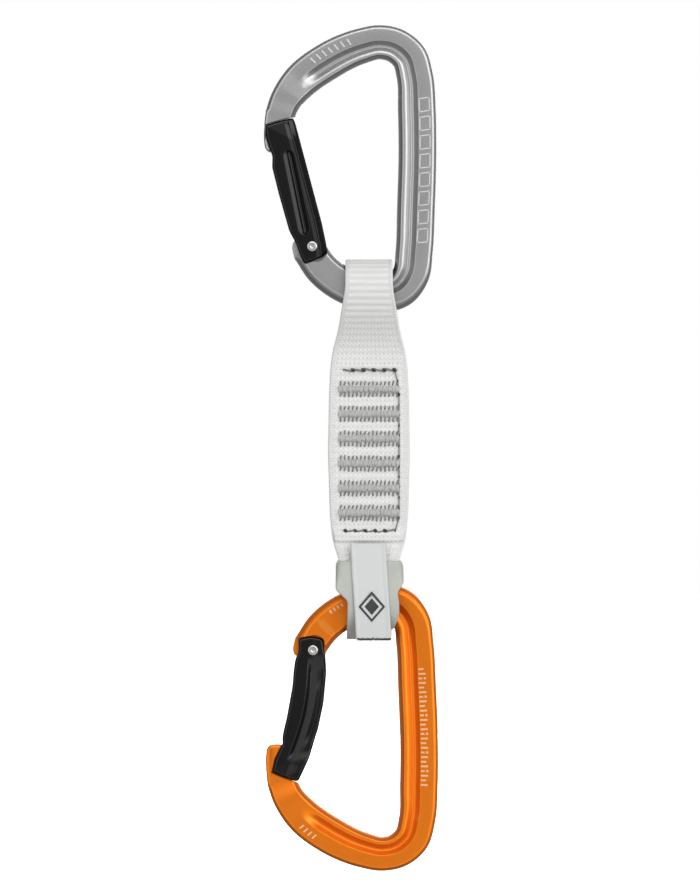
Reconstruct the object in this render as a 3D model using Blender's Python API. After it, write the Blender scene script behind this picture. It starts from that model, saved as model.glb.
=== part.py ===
"""Climbing quickdraw: a straight-gate and a bent-gate carabiner on a sewn sling.

It hangs along -Z.  The plane of both carabiners is XZ and their thickness runs
along Y, with the front at -Y.  The origin is the hanger seat: the inside of the
upper carabiner's top basket, where an anchor bears.  Lengths below are in
millimetres and are scaled to metres when a mesh is made.
"""
import bpy
import bmesh
import numpy as np
from math import atan2, cos, degrees, pi, radians, sin

MM = 0.001
GAP = 0.3                       # clearance between neighbouring pieces
CUT_REACH = 8.0                 # a cutter runs this far past the middle plane

# ---- carabiner frame: x, z and width of the bar, from the nose to the hinge ----
FRAME_LINE = [
    (-31.6, -18.9, 9.6), (-29.4, -13.3, 10.2), (-25.0, -7.5, 11.6), (-16.4, -1.0, 12.2),
    (-4.9, 4.3, 11.4), (0.9, 5.5, 11.0), (6.0, 4.5, 11.2), (10.5, 0.8, 11.6),
    (12.4, -5.4, 11.8), (13.1, -16.7, 12.3), (13.3, -29.0, 12.3), (12.8, -48.7, 12.3),
    (12.2, -62.7, 12.1), (11.2, -69.9, 12.0), (7.9, -74.6, 11.8), (-0.5, -76.4, 11.4),
    (-8.4, -74.4, 11.4), (-17.7, -68.0, 11.3), (-22.1, -61.7, 10.8),
]
BAND_WIDTH = 12.3               # bar width that the section below is drawn for
FRAME_HALF = 4.5                # half depth of the flat outer band
RIB_HALF = 4.3                  # half depth of the rounded inner rib
GROOVE_DEPTH = 1.7
GROOVE_START = (12.0, 17.0)     # distance along the bar over which the groove deepens
GROOVE_END = (149.0, 156.0)     # and over which it fades out again
SEAT_START = (118.0, 134.0)     # the edges round off along this stretch, towards the sling's seat
SEAT_ROUNDING = 0.8
NOSE_THINNING = (0.6, 10.0)     # the band is this much thinner at the nose, over this distance
STEPS_PER_STATION = 4

# ---- nose and hinge ----
HINGE = (-20.9, -60.9)          # gate rivet
NOSE_HEAD = [(-33.5, -13.5), (-36.0, -17.0), (-36.45, -21.5), (-36.6, -26.0), (-36.2, -29.0),
             (-35.2, -30.2), (-32.0, -30.4), (-30.7, -29.6), (-30.2, -26.0), (-29.2, -20.5), (-29.5, -15.0)]
NOSE_HALF = 3.9
NECK_HALF = 1.7                 # half thickness of the nose neck and of the hinge tongue
SLOT_HALF = 2.05                # half width of the gate's slots
GATE_HALF = 4.6
GATE_OPENING = 32.0             # degrees
TIP_SLOT_RADIUS = 31.9          # floor of the tip slot, from the rivet
BASE_SLOT_RADIUS = 7.0          # floor of the base slot, from the rivet
GATE_SWEEP = 6.6                # the gate base turns inside this radius
INNER_WALL = 1.8                # gate wall that closes the tip slot on the inside
TIP_ZONE = 26.0                 # the nose and the gate tip meet further from the rivet than this
RELIEF_END = 72.0               # degrees: the frame's tip relief opens inwards here
RIVET_RADIUS = 1.3
RIVET_BORE = 1.6
RIVET_HEAD = 1.75

# ---- gate spring and its plunger ----
SPRING_BORE = 1.6
SPRING_RADIUS = 0.95            # centre of the wire
SPRING_WIRE = 0.28
SPRING_TURNS = 7
SPRING_SPAN = (10.2, 19.4)      # distance from the rivet, clear of the plunger's travel
SPRING_BORE_END = 19.8
PLUNGER_RADIUS = 1.25
PLUNGER_SPAN = (4.8, 8.8)
CAM_LOW = 4.5                   # tongue radius under the plunger, gate closed
CAM_HIGH = 5.5                  # and with the gate open

# ---- gates, drawn from the rivet; z runs towards the nose ----
STRAIGHT_GATE = dict(
    inner=[(-5.4, 40.1), (3.2, 7.6), (4.6, 1.0), (5.0, -2.1)],
    base=[(3.2, -3.6), (-2.5, -5.6)],
    outer=[(-4.2, -2.4), (-5.3, 1.0), (-7.4, 4.8), (-10.9, 17.2), (-13.0, 25.6), (-12.9, 29.2),
           (-13.4, 30.8), (-14.5, 34.1), (-15.0, 35.9), (-15.3, 39.2)],
    arc=(0.0, 0.0, 42.1, 111.3, 98.3), bore_angle=104.8)
BENT_GATE = dict(
    inner=[(-4.9, 42.2), (-1.5, 35.1), (1.5, 25.4), (3.3, 17.2), (4.3, 7.3), (4.0, 1.5)],
    base=[(3.3, -3.7), (-0.6, -4.5), (-4.7, -3.7)],
    outer=[(-4.7, 0.5), (-5.8, 3.0), (-6.4, 7.1), (-6.7, 11.2), (-8.6, 21.3), (-10.3, 28.3),
           (-10.1, 30.2), (-12.5, 35.1), (-13.5, 39.5)],
    arc=(6.0, 2.3, 42.0, 117.7, 106.3), bore_angle=97.1)

# ---- lower carabiner: the same frame turned over about X ----
LOWER_SEAT = (0.8, -252.6)      # inside of its rope basket
LOWER_TILT = -0.5               # degrees

# ---- sling: a loop of webbing round both bars ----
SLING_X = -2.45
PLY = 1.7
INNER_PLY = 1.0
PLY_GAP = 0.25
EYE_RUN = 24.0                  # from an eye's axis to where the plies meet
EYE_FLANK = (14.0, 9.0)         # handles of the curve between the crown and that point
UPPER_EYE = dict(z=-74.6, radius=8.0)
LOWER_EYE = dict(z=-177.7, radius=7.6)
SLING_WIDTHS = [(-64.9, 15.3), (-75.0, 15.5), (-80.0, 17.4), (-88.0, 20.0), (-95.5, 24.0),
                (-101.0, 25.2), (-110.0, 26.0), (-128.0, 26.6), (-148.0, 25.4), (-156.0, 23.8),
                (-161.0, 20.6), (-165.0, 18.6), (-172.0, 14.0), (-188.0, 12.4)]
STRAIGHT_STEPS = 10             # points along the flat middle of the webbing
INNER_PLY_SPAN = (-102.5, -152.0)
INNER_PLY_WIDTH = 21.0

TACK_COUNT = 6
TACK_FIRST = -107.2
TACK_PITCH = 8.04
TACK_SIZE = (19.6, 4.8)
TACK_CORE = (17.0, 1.0)
THREAD = 0.6                    # thickness of the thread pads
THREAD_LIFT = 0.2               # thread sits this far off the webbing
TACK_SOFTENING = 0.4
SEAM_BOX = (10.5, -101.0, -153.2)   # half width, top and bottom of the seam
SEAM_CORNER = 3.6
SEAM_WIDTH = 0.7
SEAM_THICKNESS = 0.4

KEEPER_WALL = 1.2
KEEPER_GAP = 0.25
KEEPER_TOP = -162.9
KEEPER_WIDTHS = [(-162.9, 22.6), (-172.3, 22.6), (-175.0, 18.0), (-190.0, 17.6)]
KEEPER_X = -1.6
KEEPER_WRAP_END = 4.9           # the wrap stops short of the spine here
KEEPER_FLAP_HALF = 8.2
KEEPER_FLOOR = -200.0           # below everything that the keeper's cutters meet

LABEL_TOP = -157.4
LABEL_BOTTOM = -188.6
LABEL_WIDTH = 11.5
LABEL_THICKNESS = 0.6
LABEL_LEAN = 1.9                # the lower end sits this much further to +X
LABEL_X = -1.85


def clear_scene():
    for item in list(bpy.data.objects):
        bpy.data.objects.remove(item)


def material(name, colour, roughness, metallic):
    made = bpy.data.materials.new(name)
    made.use_nodes = True
    shader = made.node_tree.nodes["Principled BSDF"]
    shader.inputs["Base Color"].default_value = (*colour, 1.0)
    shader.inputs["Roughness"].default_value = roughness
    shader.inputs["Metallic"].default_value = metallic
    return made


def add_object(name, mesh_data, finish=None, parent=None, smooth=35.0):
    """Turn a bmesh in millimetres into a named object in metres."""
    bmesh.ops.scale(mesh_data, vec=(MM, MM, MM), verts=mesh_data.verts)
    bmesh.ops.recalc_face_normals(mesh_data, faces=mesh_data.faces)
    mesh = bpy.data.meshes.new(name)
    mesh_data.to_mesh(mesh)
    mesh_data.free()
    item = bpy.data.objects.new(name, mesh)
    bpy.context.collection.objects.link(item)
    mesh.shade_smooth()
    mesh.set_sharp_from_angle(angle=radians(smooth))
    if finish:
        mesh.materials.append(finish)
    if parent:
        item.parent = parent
    return item


def add_empty(name, location, rotation=(0.0, 0.0, 0.0), parent=None):
    item = bpy.data.objects.new(name, None)
    item.location = [value * MM for value in location]
    item.rotation_euler = rotation
    item.parent = parent
    bpy.context.collection.objects.link(item)
    return item


def loft(rings, closed=False):
    """Skin equal rings of points; the ends are capped unless the row is closed."""
    mesh = bmesh.new()
    rows = [[mesh.verts.new(point) for point in ring] for ring in rings]
    count = len(rings[0])
    last = len(rows) if closed else len(rows) - 1
    for i in range(last):
        near, far = rows[i], rows[(i + 1) % len(rows)]
        for j in range(count):
            k = (j + 1) % count
            mesh.faces.new((near[j], near[k], far[k], far[j]))
    if not closed:
        mesh.faces.new(rows[0])
        mesh.faces.new(rows[-1][::-1])
    return mesh


def prism(outline, low, high):
    """An XZ outline extruded along Y."""
    return loft([[(x, y, z) for x, z in outline] for y in (low, high)])


def box(x, y, z):
    return prism([(x[0], z[0]), (x[1], z[0]), (x[1], z[1]), (x[0], z[1])], y[0], y[1])


def inset(outline, amount):
    """Move each corner of a clockwise or anticlockwise outline inwards."""
    points = np.array(outline)
    ahead = np.roll(points, -1, axis=0) - points
    ahead /= np.linalg.norm(ahead, axis=1)[:, None]
    behind = np.roll(ahead, 1, axis=0)
    side = np.stack([-ahead[:, 1], ahead[:, 0]], axis=1)
    bisector = side + np.stack([-behind[:, 1], behind[:, 0]], axis=1)
    bisector /= (bisector * side).sum(axis=1)[:, None]
    area = np.sum(points[:, 0] * np.roll(points[:, 1], -1) - points[:, 1] * np.roll(points[:, 0], -1))
    return [tuple(point) for point in points + bisector * amount * np.sign(area)]


def softened_prism(outline, half, bevel):
    """An outline extruded to +-half, with both rims chamfered."""
    small = inset(outline, bevel)
    rows = [(small, -half), (outline, bevel - half), (outline, half - bevel), (small, half)]
    return loft([[(x, y, z) for x, z in ring] for ring, y in rows])


def arc(centre_x, centre_z, radius, start, end, steps):
    """Points on a circle in XZ; the angles are in degrees from +X towards +Z."""
    turns = np.radians(np.linspace(start, end, steps))
    return [(centre_x + radius * cos(t), centre_z + radius * sin(t)) for t in turns]


def rod(radius, low, high, sides=24):
    """A round bar along Y at x = z = 0."""
    return prism(arc(0, 0, radius, 0, 360 - 360 / sides, sides), low, high)


def turned(profile, direction, sides=16):
    """Spin (distance, radius) pairs about a line in XZ through the origin."""
    ux, uz = direction
    rings = []
    for along, radius in profile:
        turns = [2 * pi * k / sides for k in range(sides)]
        rings.append([(ux * along - uz * radius * cos(t), radius * sin(t),
                       uz * along + ux * radius * cos(t)) for t in turns])
    return loft(rings)


def boolean(item, cutter, operation="DIFFERENCE"):
    cutter.hide_render = True
    cutter.display_type = "WIRE"
    step = item.modifiers.new(cutter.name, "BOOLEAN")
    step.operation = operation
    step.solver = "EXACT"
    step.object = cutter


def shifted(points, offset):
    return [(x + offset[0], z + offset[1]) for x, z in points]


def mirrored_pair(outline, low, high):
    """Two slabs of the same outline, in front of and behind the middle plane."""
    return prism(outline, low, high), prism(outline, -high, -low)


# ---------------------------------------------------------------- carabiner frame

def smooth_line(stations, steps):
    """A smooth curve through the stations, with every column interpolated alike."""
    points = np.array(stations, float)
    spans = np.linalg.norm(np.diff(points[:, :2], axis=0), axis=1)
    slopes = np.diff(points, axis=0) / spans[:, None]
    before, after = spans[:-1, None], spans[1:, None]
    middle = (slopes[:-1] * after + slopes[1:] * before) / (before + after)
    tangents = np.vstack([slopes[:1], middle, slopes[-1:]])
    line = []
    for i, span in enumerate(spans):
        for t in np.arange(steps) / steps:
            line.append((2 * t**3 - 3 * t**2 + 1) * points[i]
                        + (t**3 - 2 * t**2 + t) * span * tangents[i]
                        + (3 * t**2 - 2 * t**3) * points[i + 1]
                        + (t**3 - t**2) * span * tangents[i + 1])
    return np.array(line + [points[-1]])


def ramp(value, low, high):
    t = min(max((value - low) / (high - low), 0.0), 1.0)
    return t * t * (3.0 - 2.0 * t)


def frame_section(width, along):
    """The bar's section as (outwards, depth): flat band, groove and inner rib."""
    groove = ramp(along, *GROOVE_START) * (1.0 - ramp(along, *GROOVE_END))
    rounding = 1.0 + SEAT_ROUNDING * ramp(along, *SEAT_START)
    thinning, distance = NOSE_THINNING
    band = FRAME_HALF - thinning * (1.0 - ramp(along, 0.0, distance))
    rib = band + (RIB_HALF - band) * groove
    scale = width / BAND_WIDTH
    outer, inner = width / 2, -width / 2
    half = [
        (outer, band - 1.6 * rounding), (outer - 0.45 * rounding, band - 0.55 * rounding),
        (outer - 1.25 * rounding, band), (outer - 5.9 * scale, band),
        (outer - 6.6 * scale, band - GROOVE_DEPTH * groove),
        (outer - 8.7 * scale, band - GROOVE_DEPTH * groove),
        (outer - 9.8 * scale, rib - 0.3), (inner + 1.8, rib),
        (inner + 0.6, rib - 1.3), (inner, rib - 2.9),
    ]
    return half + [(u, -v) for u, v in reversed(half)]


def frame_bar():
    line = smooth_line(FRAME_LINE, STEPS_PER_STATION)
    heading = np.gradient(line[:, :2], axis=0)
    heading /= np.linalg.norm(heading, axis=1)[:, None]
    along = np.concatenate([[0.0], np.cumsum(np.linalg.norm(np.diff(line[:, :2], axis=0), axis=1))])
    rings = []
    for (x, z, width), (hx, hz), distance in zip(line, heading, along):
        rings.append([(x - hz * u, v, z + hx * u) for u, v in frame_section(width, distance)])
    return loft(rings)


def tongue_outline(bore_angle):
    """The hinge tongue, drawn from the rivet: stop lug, then the plunger's cam, then the root."""
    rise = CAM_HIGH - CAM_LOW
    polar = [(148.0, 4.9), (130.0, CAM_LOW), (bore_angle + 6.0, CAM_LOW)]
    polar += [(bore_angle - turn, CAM_LOW + rise * turn / GATE_OPENING) for turn in (8, 16, 24, 32)]
    polar += [(bore_angle - 40.0, CAM_HIGH), (40.0, 4.6), (20.0, 4.4), (0.0, 4.4)]
    cam = [(r * cos(radians(a)), r * sin(radians(a))) for a, r in polar]
    return [(-6.2, 1.4)] + cam + [(4.2, -3.0), (1.0, -8.0), (-3.0, -8.0), (-5.75, -4.0), (-6.6, -0.5)]


def edge_at(points, z):
    """x of a polyline edge at a height z."""
    ordered = sorted((pz, px) for px, pz in points)
    return float(np.interp(z, [p[0] for p in ordered], [p[1] for p in ordered]))


def nose_relief(gate, left):
    """The room that a gate tip needs: a left edge, then the tip arc, then open inwards."""
    cx, cz, radius, start, end = gate["arc"]
    top_x, top_z = left[-1]
    first = degrees(atan2(top_z - cz, top_x - cx))
    curve = arc(cx, cz, radius + GAP + 0.05, first, RELIEF_END, 9)
    return shifted(left[:-1] + curve + [(curve[-1][0], left[0][1])], HINGE)


def build_frame(name, gate, finish, parent):
    frame = add_object(name, frame_bar(), finish, parent)
    head = add_object(name + "_head", softened_prism(NOSE_HEAD, NOSE_HALF, 0.8), None, parent)
    boolean(frame, head, "UNION")
    tongue = prism(shifted(tongue_outline(gate["bore_angle"]), HINGE), -NECK_HALF, NECK_HALF)
    boolean(frame, add_object(name + "_tongue", tongue, None, parent), "UNION")

    outer = [(x - GAP - 0.05, z) for x, z in gate["outer"] if z > TIP_ZONE]
    cheeks = nose_relief(gate, [(outer[0][0], TIP_ZONE)] + outer)
    for side, slab in zip("ab", mirrored_pair(cheeks, NECK_HALF, CUT_REACH)):
        boolean(frame, add_object(f"{name}_cheek_cut_{side}", slab, None, parent))
    heights = np.linspace(TIP_ZONE, TIP_ZONE + 16.0, 5)
    wall = [(edge_at(gate["inner"], z) - INNER_WALL - GAP - 0.1, z) for z in heights]
    trim = prism(nose_relief(gate, wall), -CUT_REACH, CUT_REACH)
    boolean(frame, add_object(name + "_neck_cut", trim, None, parent))

    sweep = shifted(arc(0, 0, GATE_SWEEP, 0, 348, 30), HINGE)
    for side, slab in zip("ab", mirrored_pair(sweep, NECK_HALF, CUT_REACH)):
        boolean(frame, add_object(f"{name}_base_cut_{side}", slab, None, parent))
    bore = prism(shifted(arc(0, 0, RIVET_BORE, 0, 340, 18), HINGE), -CUT_REACH, CUT_REACH)
    boolean(frame, add_object(name + "_bore_cut", bore, None, parent))
    return frame


# ---------------------------------------------------------------- gate

def gate_outline(gate):
    return arc(*gate["arc"], 5) + gate["inner"] + gate["base"] + gate["outer"][:-1]


def build_gate(name, gate, finish, pivot):
    body = add_object(name, softened_prism(gate_outline(gate), GATE_HALF, 0.9), finish, pivot)
    heights = np.linspace(TIP_ZONE, TIP_ZONE + 18.0, 7)
    wall = [(edge_at(gate["inner"], z) - INNER_WALL, z) for z in heights]
    floor = arc(0, 0, TIP_SLOT_RADIUS, 125.0, 92.0, 8)
    floor = [point for point in floor if point[0] < edge_at(gate["inner"], point[1]) - INNER_WALL - 0.3]
    sides = [point for point in wall if point[1] > floor[-1][1] + 0.5]
    slot = prism(floor + sides + [(-22.0, TIP_ZONE + 18.0)], -SLOT_HALF, SLOT_HALF)
    boolean(body, add_object(name + "_tip_slot", slot, None, pivot))
    base = prism(arc(0, 0, BASE_SLOT_RADIUS, 0, 348, 30), -SLOT_HALF, SLOT_HALF)
    boolean(body, add_object(name + "_base_slot", base, None, pivot))
    boolean(body, add_object(name + "_rivet_bore", rod(RIVET_BORE, -CUT_REACH, CUT_REACH, 18), None, pivot))
    angle = radians(gate["bore_angle"])
    bore = turned([(3.0, SPRING_BORE), (SPRING_BORE_END, SPRING_BORE)], (cos(angle), sin(angle)))
    boolean(body, add_object(name + "_spring_bore", bore, None, pivot))
    return body


def rivet():
    """A headed pin along Y, as rings of (y, radius)."""
    seat = GATE_HALF + GAP - 0.05
    head = [(seat, RIVET_HEAD), (seat + 0.3, RIVET_HEAD), (seat + 0.6, 1.2), (seat + 0.7, 0.5)]
    profile = [(-y, r) for y, r in reversed(head)] + [(-seat, RIVET_RADIUS), (seat, RIVET_RADIUS)] + head
    rings = [[(r * cos(t), y, r * sin(t)) for t in np.linspace(0, 2 * pi, 20, endpoint=False)]
             for y, r in profile]
    return loft(rings)


def plunger(direction):
    tip, tail = PLUNGER_SPAN
    nose = [(tip + PLUNGER_RADIUS * (1 - cos(t)), PLUNGER_RADIUS * sin(t))
            for t in np.radians((12, 40, 65, 90))]
    return turned(nose + [(tail, PLUNGER_RADIUS)], direction)


def coil(direction, sides=6, per_turn=12):
    """A helix of round wire about a line in XZ through the origin."""
    ux, uz = direction
    low, high = SPRING_SPAN
    count = SPRING_TURNS * per_turn + 1
    rings = []
    for i in range(count):
        turn = 2 * pi * i / per_turn
        along = low + SPRING_WIRE + (high - low - 2 * SPRING_WIRE) * i / (count - 1)
        ring = []
        for k in range(sides):
            phase = 2 * pi * k / sides
            radius = SPRING_RADIUS + SPRING_WIRE * cos(phase)
            reach = along + SPRING_WIRE * sin(phase)
            ring.append((ux * reach - uz * radius * cos(turn), radius * sin(turn),
                         uz * reach + ux * radius * cos(turn)))
        rings.append(ring)
    return loft(rings)


def build_carabiner(prefix, gate, frame_finish, finishes, place):
    build_frame(prefix + "_frame", gate, frame_finish, place)
    pivot = add_empty(prefix + "_gate_pivot", (HINGE[0], 0.0, HINGE[1]), parent=place)
    build_gate(prefix + "_gate", gate, finishes["gate"], pivot)
    angle = radians(gate["bore_angle"])
    direction = (cos(angle), sin(angle))
    add_object(prefix + "_gate_rivet", rivet(), finishes["steel"], pivot)
    add_object(prefix + "_gate_plunger", plunger(direction), finishes["steel"], pivot)
    add_object(prefix + "_gate_spring", coil(direction), finishes["steel"], pivot)


# ---------------------------------------------------------------- sling

def stack_half():
    """Distance from the middle plane to the middle of an outer ply."""
    return INNER_PLY / 2 + PLY_GAP + PLY / 2


def eye_curve(eye, offset, sign, steps=9, turns=18):
    """Half-loop of an eye as (y, z) from the front ply round to the back ply.

    sign is +1 for the upper eye and -1 for the lower one; offset is measured
    outwards from the middle of the ply.
    """
    radius = eye["radius"] + PLY / 2 + offset
    stack = stack_half() + offset
    corners = [(stack, EYE_RUN), (stack, EYE_FLANK[0]), (radius, EYE_FLANK[1]), (radius, 0.0)]
    flank = []
    for t in np.arange(steps) / steps:
        weights = ((1 - t)**3, 3 * t * (1 - t)**2, 3 * t**2 * (1 - t), t**3)
        flank.append((sum(w * c[0] for w, c in zip(weights, corners)),
                      sum(w * c[1] for w, c in zip(weights, corners))))
    crown = [(radius * cos(a), -radius * sin(a)) for a in np.linspace(0, pi, turns + 1)]
    half = [(-y, -z) for y, z in flank + crown]
    return [(y, eye["z"] + sign * z) for y, z in half + [(-y, z) for y, z in reversed(half[:steps])]]


def width_at(stations, z):
    ordered = sorted(stations)
    return float(np.interp(z, [s[0] for s in ordered], [s[1] for s in ordered]))


def sling_side(offset):
    """One face of the whole loop as (y, z), starting in front below the upper eye."""
    upper = eye_curve(UPPER_EYE, offset, 1)
    lower = eye_curve(LOWER_EYE, offset, -1)[::-1]
    run = np.linspace(upper[-1][1], lower[0][1], STRAIGHT_STEPS + 1)[1:-1]
    back = [(upper[-1][0], z) for z in run]
    front = [(-y, z) for y, z in reversed(back)]
    return upper + back + lower + front


def sling_loop():
    """The webbing: outer and inner faces of one closed loop, as wide as its height says."""
    outer, inner = sling_side(PLY / 2), sling_side(-PLY / 2)
    rings = []
    for (outer_y, outer_z), (inner_y, inner_z) in zip(outer, inner):
        half = width_at(SLING_WIDTHS, outer_z) / 2
        low, high = SLING_X - half, SLING_X + half
        rings.append([(low, outer_y, outer_z), (high, outer_y, outer_z),
                      (high, inner_y, inner_z), (low, inner_y, inner_z)])
    return loft(rings, closed=True)


def tack_heights():
    return [TACK_FIRST - i * TACK_PITCH for i in range(TACK_COUNT)]


def tack_slots(item, depth):
    """Cut the needle slots that the bar tacks' threads run through."""
    half_x, half_z = TACK_CORE[0] / 2 + GAP, TACK_CORE[1] / 2 + GAP
    for i, z in enumerate(tack_heights()):
        slot = box((SLING_X - half_x, SLING_X + half_x), (-depth, depth), (z - half_z, z + half_z))
        boolean(item, add_object(f"{item.name}_slot_{i + 1}", slot))


def bar_tack(z):
    """Thread pads on both faces, joined through the plies."""
    face = stack_half() + PLY / 2 + THREAD_LIFT
    soft = TACK_SOFTENING
    pad_x, pad_z = TACK_SIZE[0] / 2, TACK_SIZE[1] / 2
    core_x, core_z = TACK_CORE[0] / 2, TACK_CORE[1] / 2
    front = [(-face - THREAD, pad_x - soft, pad_z - soft), (-face + soft - THREAD, pad_x, pad_z),
             (-face, pad_x, pad_z), (-face, core_x, core_z)]
    rows = front + [(-y, x, h) for y, x, h in reversed(front)]
    return loft([[(SLING_X - x, y, z - h), (SLING_X + x, y, z - h),
                  (SLING_X + x, y, z + h), (SLING_X - x, y, z + h)] for y, x, h in rows])


def seam_outline(grow):
    half, top, bottom = SEAM_BOX[0] + grow, SEAM_BOX[1] + grow, SEAM_BOX[2] - grow
    corner = SEAM_CORNER
    return [(SLING_X + x, z) for x, z in (
        (-half + corner, top), (half - corner, top), (half, top - corner), (half, bottom + corner),
        (half - corner, bottom), (corner - half, bottom), (-half, bottom + corner), (-half, top - corner))]


def edge_stitch(side):
    """A flat ring of thread on one face of the sling."""
    face = stack_half() + PLY / 2 + THREAD_LIFT
    wide, narrow = seam_outline(SEAM_WIDTH / 2), seam_outline(-SEAM_WIDTH / 2)
    near, far = side * face, side * (face + SEAM_THICKNESS)
    return loft([[(wx, near, wz), (wx, far, wz), (nx, far, nz), (nx, near, nz)]
                 for (wx, wz), (nx, nz) in zip(wide, narrow)], closed=True)


def filled_eye(offset, widths, centre, top, grow=0.0):
    """A solid lower eye: its side outline as wide as its height says, cut off at a height."""
    flank = [(abs(y), z) for y, z in eye_curve(LOWER_EYE, offset, -1)]
    flank = flank[:len(flank) // 2 + 1]
    ordered = sorted((z, y) for y, z in flank)
    shoulder = float(np.interp(top, [z for z, _ in ordered], [y for _, y in ordered]))
    rings = []
    for y, z in [(shoulder, top)] + [point for point in flank if point[1] < top]:
        depth = max(y, 0.4)
        half = width_at(widths, z) / 2 + grow
        low, high = centre - half, centre + half
        rings.append([(low, -depth, z), (high, -depth, z), (high, depth, z), (low, depth, z)])
    return loft(rings)


def build_keeper(finish):
    inner = PLY / 2 + KEEPER_GAP
    outer = inner + KEEPER_WALL
    keeper = add_object("keeper", filled_eye(outer, KEEPER_WIDTHS, KEEPER_X, KEEPER_TOP), finish)
    passage = filled_eye(inner, SLING_WIDTHS, SLING_X, KEEPER_TOP + 3.0, grow=KEEPER_GAP)
    boolean(keeper, add_object("keeper_passage", passage))
    radius = LOWER_EYE["radius"] + PLY + KEEPER_GAP
    rows = [[(x, radius * cos(t), LOWER_EYE["z"] + radius * sin(t))
             for t in np.linspace(0, 2 * pi, 36, endpoint=False)] for x in (-30.0, 30.0)]
    boolean(keeper, add_object("keeper_bar_hole", loft(rows)))
    spine_side = box((KEEPER_WRAP_END, 30.0), (-KEEPER_FLAP_HALF, KEEPER_FLAP_HALF),
                     (KEEPER_FLOOR, LOWER_EYE["z"] + 4.0))
    boolean(keeper, add_object("keeper_spine_cut", spine_side))


def label():
    """A ribbon that lies down over the keeper's front and hangs off its widest line."""
    lift = PLY / 2 + KEEPER_GAP + KEEPER_WALL + GAP
    flank = [(y, z) for y, z in eye_curve(LOWER_EYE, lift, -1) if z >= LOWER_EYE["z"] and y < 0]
    start = float(np.interp(-LABEL_TOP, [-z for _, z in flank], [y for y, _ in flank]))
    curve = [(start, LABEL_TOP)] + [(y, z) for y, z in flank if z < LABEL_TOP]
    face = min(y for y, z in curve)
    curve += [(face, z) for z in np.linspace(LOWER_EYE["z"] - 3.0, LABEL_BOTTOM, 4)]
    rings = []
    for y, z in curve:
        middle = LABEL_X - LABEL_LEAN / 2 + LABEL_LEAN * (LABEL_TOP - z) / (LABEL_TOP - LABEL_BOTTOM)
        low, high = middle - LABEL_WIDTH / 2, middle + LABEL_WIDTH / 2
        rings.append([(low, y, z), (high, y, z), (high, y - LABEL_THICKNESS, z), (low, y - LABEL_THICKNESS, z)])
    return loft(rings)


def build_sling(finishes):
    webbing = add_object("sling_webbing", sling_loop(), finishes["webbing"])
    tack_slots(webbing, 12.0)
    half = INNER_PLY_WIDTH / 2
    ply = add_object("sling_inner_ply", box((SLING_X - half, SLING_X + half), (-INNER_PLY / 2, INNER_PLY / 2),
                                            INNER_PLY_SPAN[::-1]), finishes["webbing"])
    tack_slots(ply, 4.0)
    for i, z in enumerate(tack_heights()):
        add_object(f"bar_tack_{i + 1}", bar_tack(z), finishes["tack"])
    add_object("edge_stitch_front", edge_stitch(-1), finishes["seam"])
    add_object("edge_stitch_back", edge_stitch(1), finishes["seam"])
    build_keeper(finishes["rubber"])
    add_object("woven_label", label(), finishes["label"])


def main():
    clear_scene()
    finishes = {
        "bare": material("bare_aluminium", (0.42, 0.42, 0.43), 0.32, 1.0),
        "orange": material("orange_anodised", (0.75, 0.20, 0.02), 0.30, 1.0),
        "gate": material("black_anodised", (0.012, 0.012, 0.013), 0.28, 0.6),
        "steel": material("bright_steel", (0.62, 0.61, 0.60), 0.22, 1.0),
        "webbing": material("white_webbing", (0.76, 0.77, 0.74), 0.85, 0.0),
        "tack": material("grey_thread", (0.36, 0.37, 0.37), 0.75, 0.0),
        "seam": material("dark_thread", (0.03, 0.03, 0.03), 0.75, 0.0),
        "rubber": material("pale_rubber", (0.55, 0.56, 0.51), 0.55, 0.0),
        "label": material("grey_ribbon", (0.64, 0.66, 0.65), 0.6, 0.0),
    }
    upper = add_empty("upper_carabiner", (0.0, 0.0, 0.0))
    build_carabiner("upper", STRAIGHT_GATE, finishes["bare"], finishes, upper)
    lower = add_empty("lower_carabiner", (LOWER_SEAT[0], 0.0, LOWER_SEAT[1]), (pi, radians(LOWER_TILT), 0.0))
    build_carabiner("lower", BENT_GATE, finishes["orange"], finishes, lower)
    build_sling(finishes)


main()
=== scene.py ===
"""The looks of the climbing quickdraw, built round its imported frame.

Lengths are in millimetres, in the frame's own axes, and are scaled to metres when a
mesh is made.  Each piece repeats the outline of the solid it stands for.
"""
from math import atan2, cos, degrees, pi, radians, sin

import bmesh
import bpy
import numpy as np
from mathutils import Matrix, Vector


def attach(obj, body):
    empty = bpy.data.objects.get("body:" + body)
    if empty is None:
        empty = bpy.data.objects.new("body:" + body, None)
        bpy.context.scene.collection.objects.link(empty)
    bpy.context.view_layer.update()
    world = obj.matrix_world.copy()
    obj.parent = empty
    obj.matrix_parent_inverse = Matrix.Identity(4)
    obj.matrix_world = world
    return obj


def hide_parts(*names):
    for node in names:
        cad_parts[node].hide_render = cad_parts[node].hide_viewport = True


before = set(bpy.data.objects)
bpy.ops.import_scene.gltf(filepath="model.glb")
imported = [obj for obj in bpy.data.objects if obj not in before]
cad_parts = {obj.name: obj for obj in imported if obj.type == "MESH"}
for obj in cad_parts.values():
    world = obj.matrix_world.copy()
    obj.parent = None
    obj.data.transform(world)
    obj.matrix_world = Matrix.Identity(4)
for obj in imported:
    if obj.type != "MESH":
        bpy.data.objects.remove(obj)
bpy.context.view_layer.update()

MM = 0.001
GAP = 0.3

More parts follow.
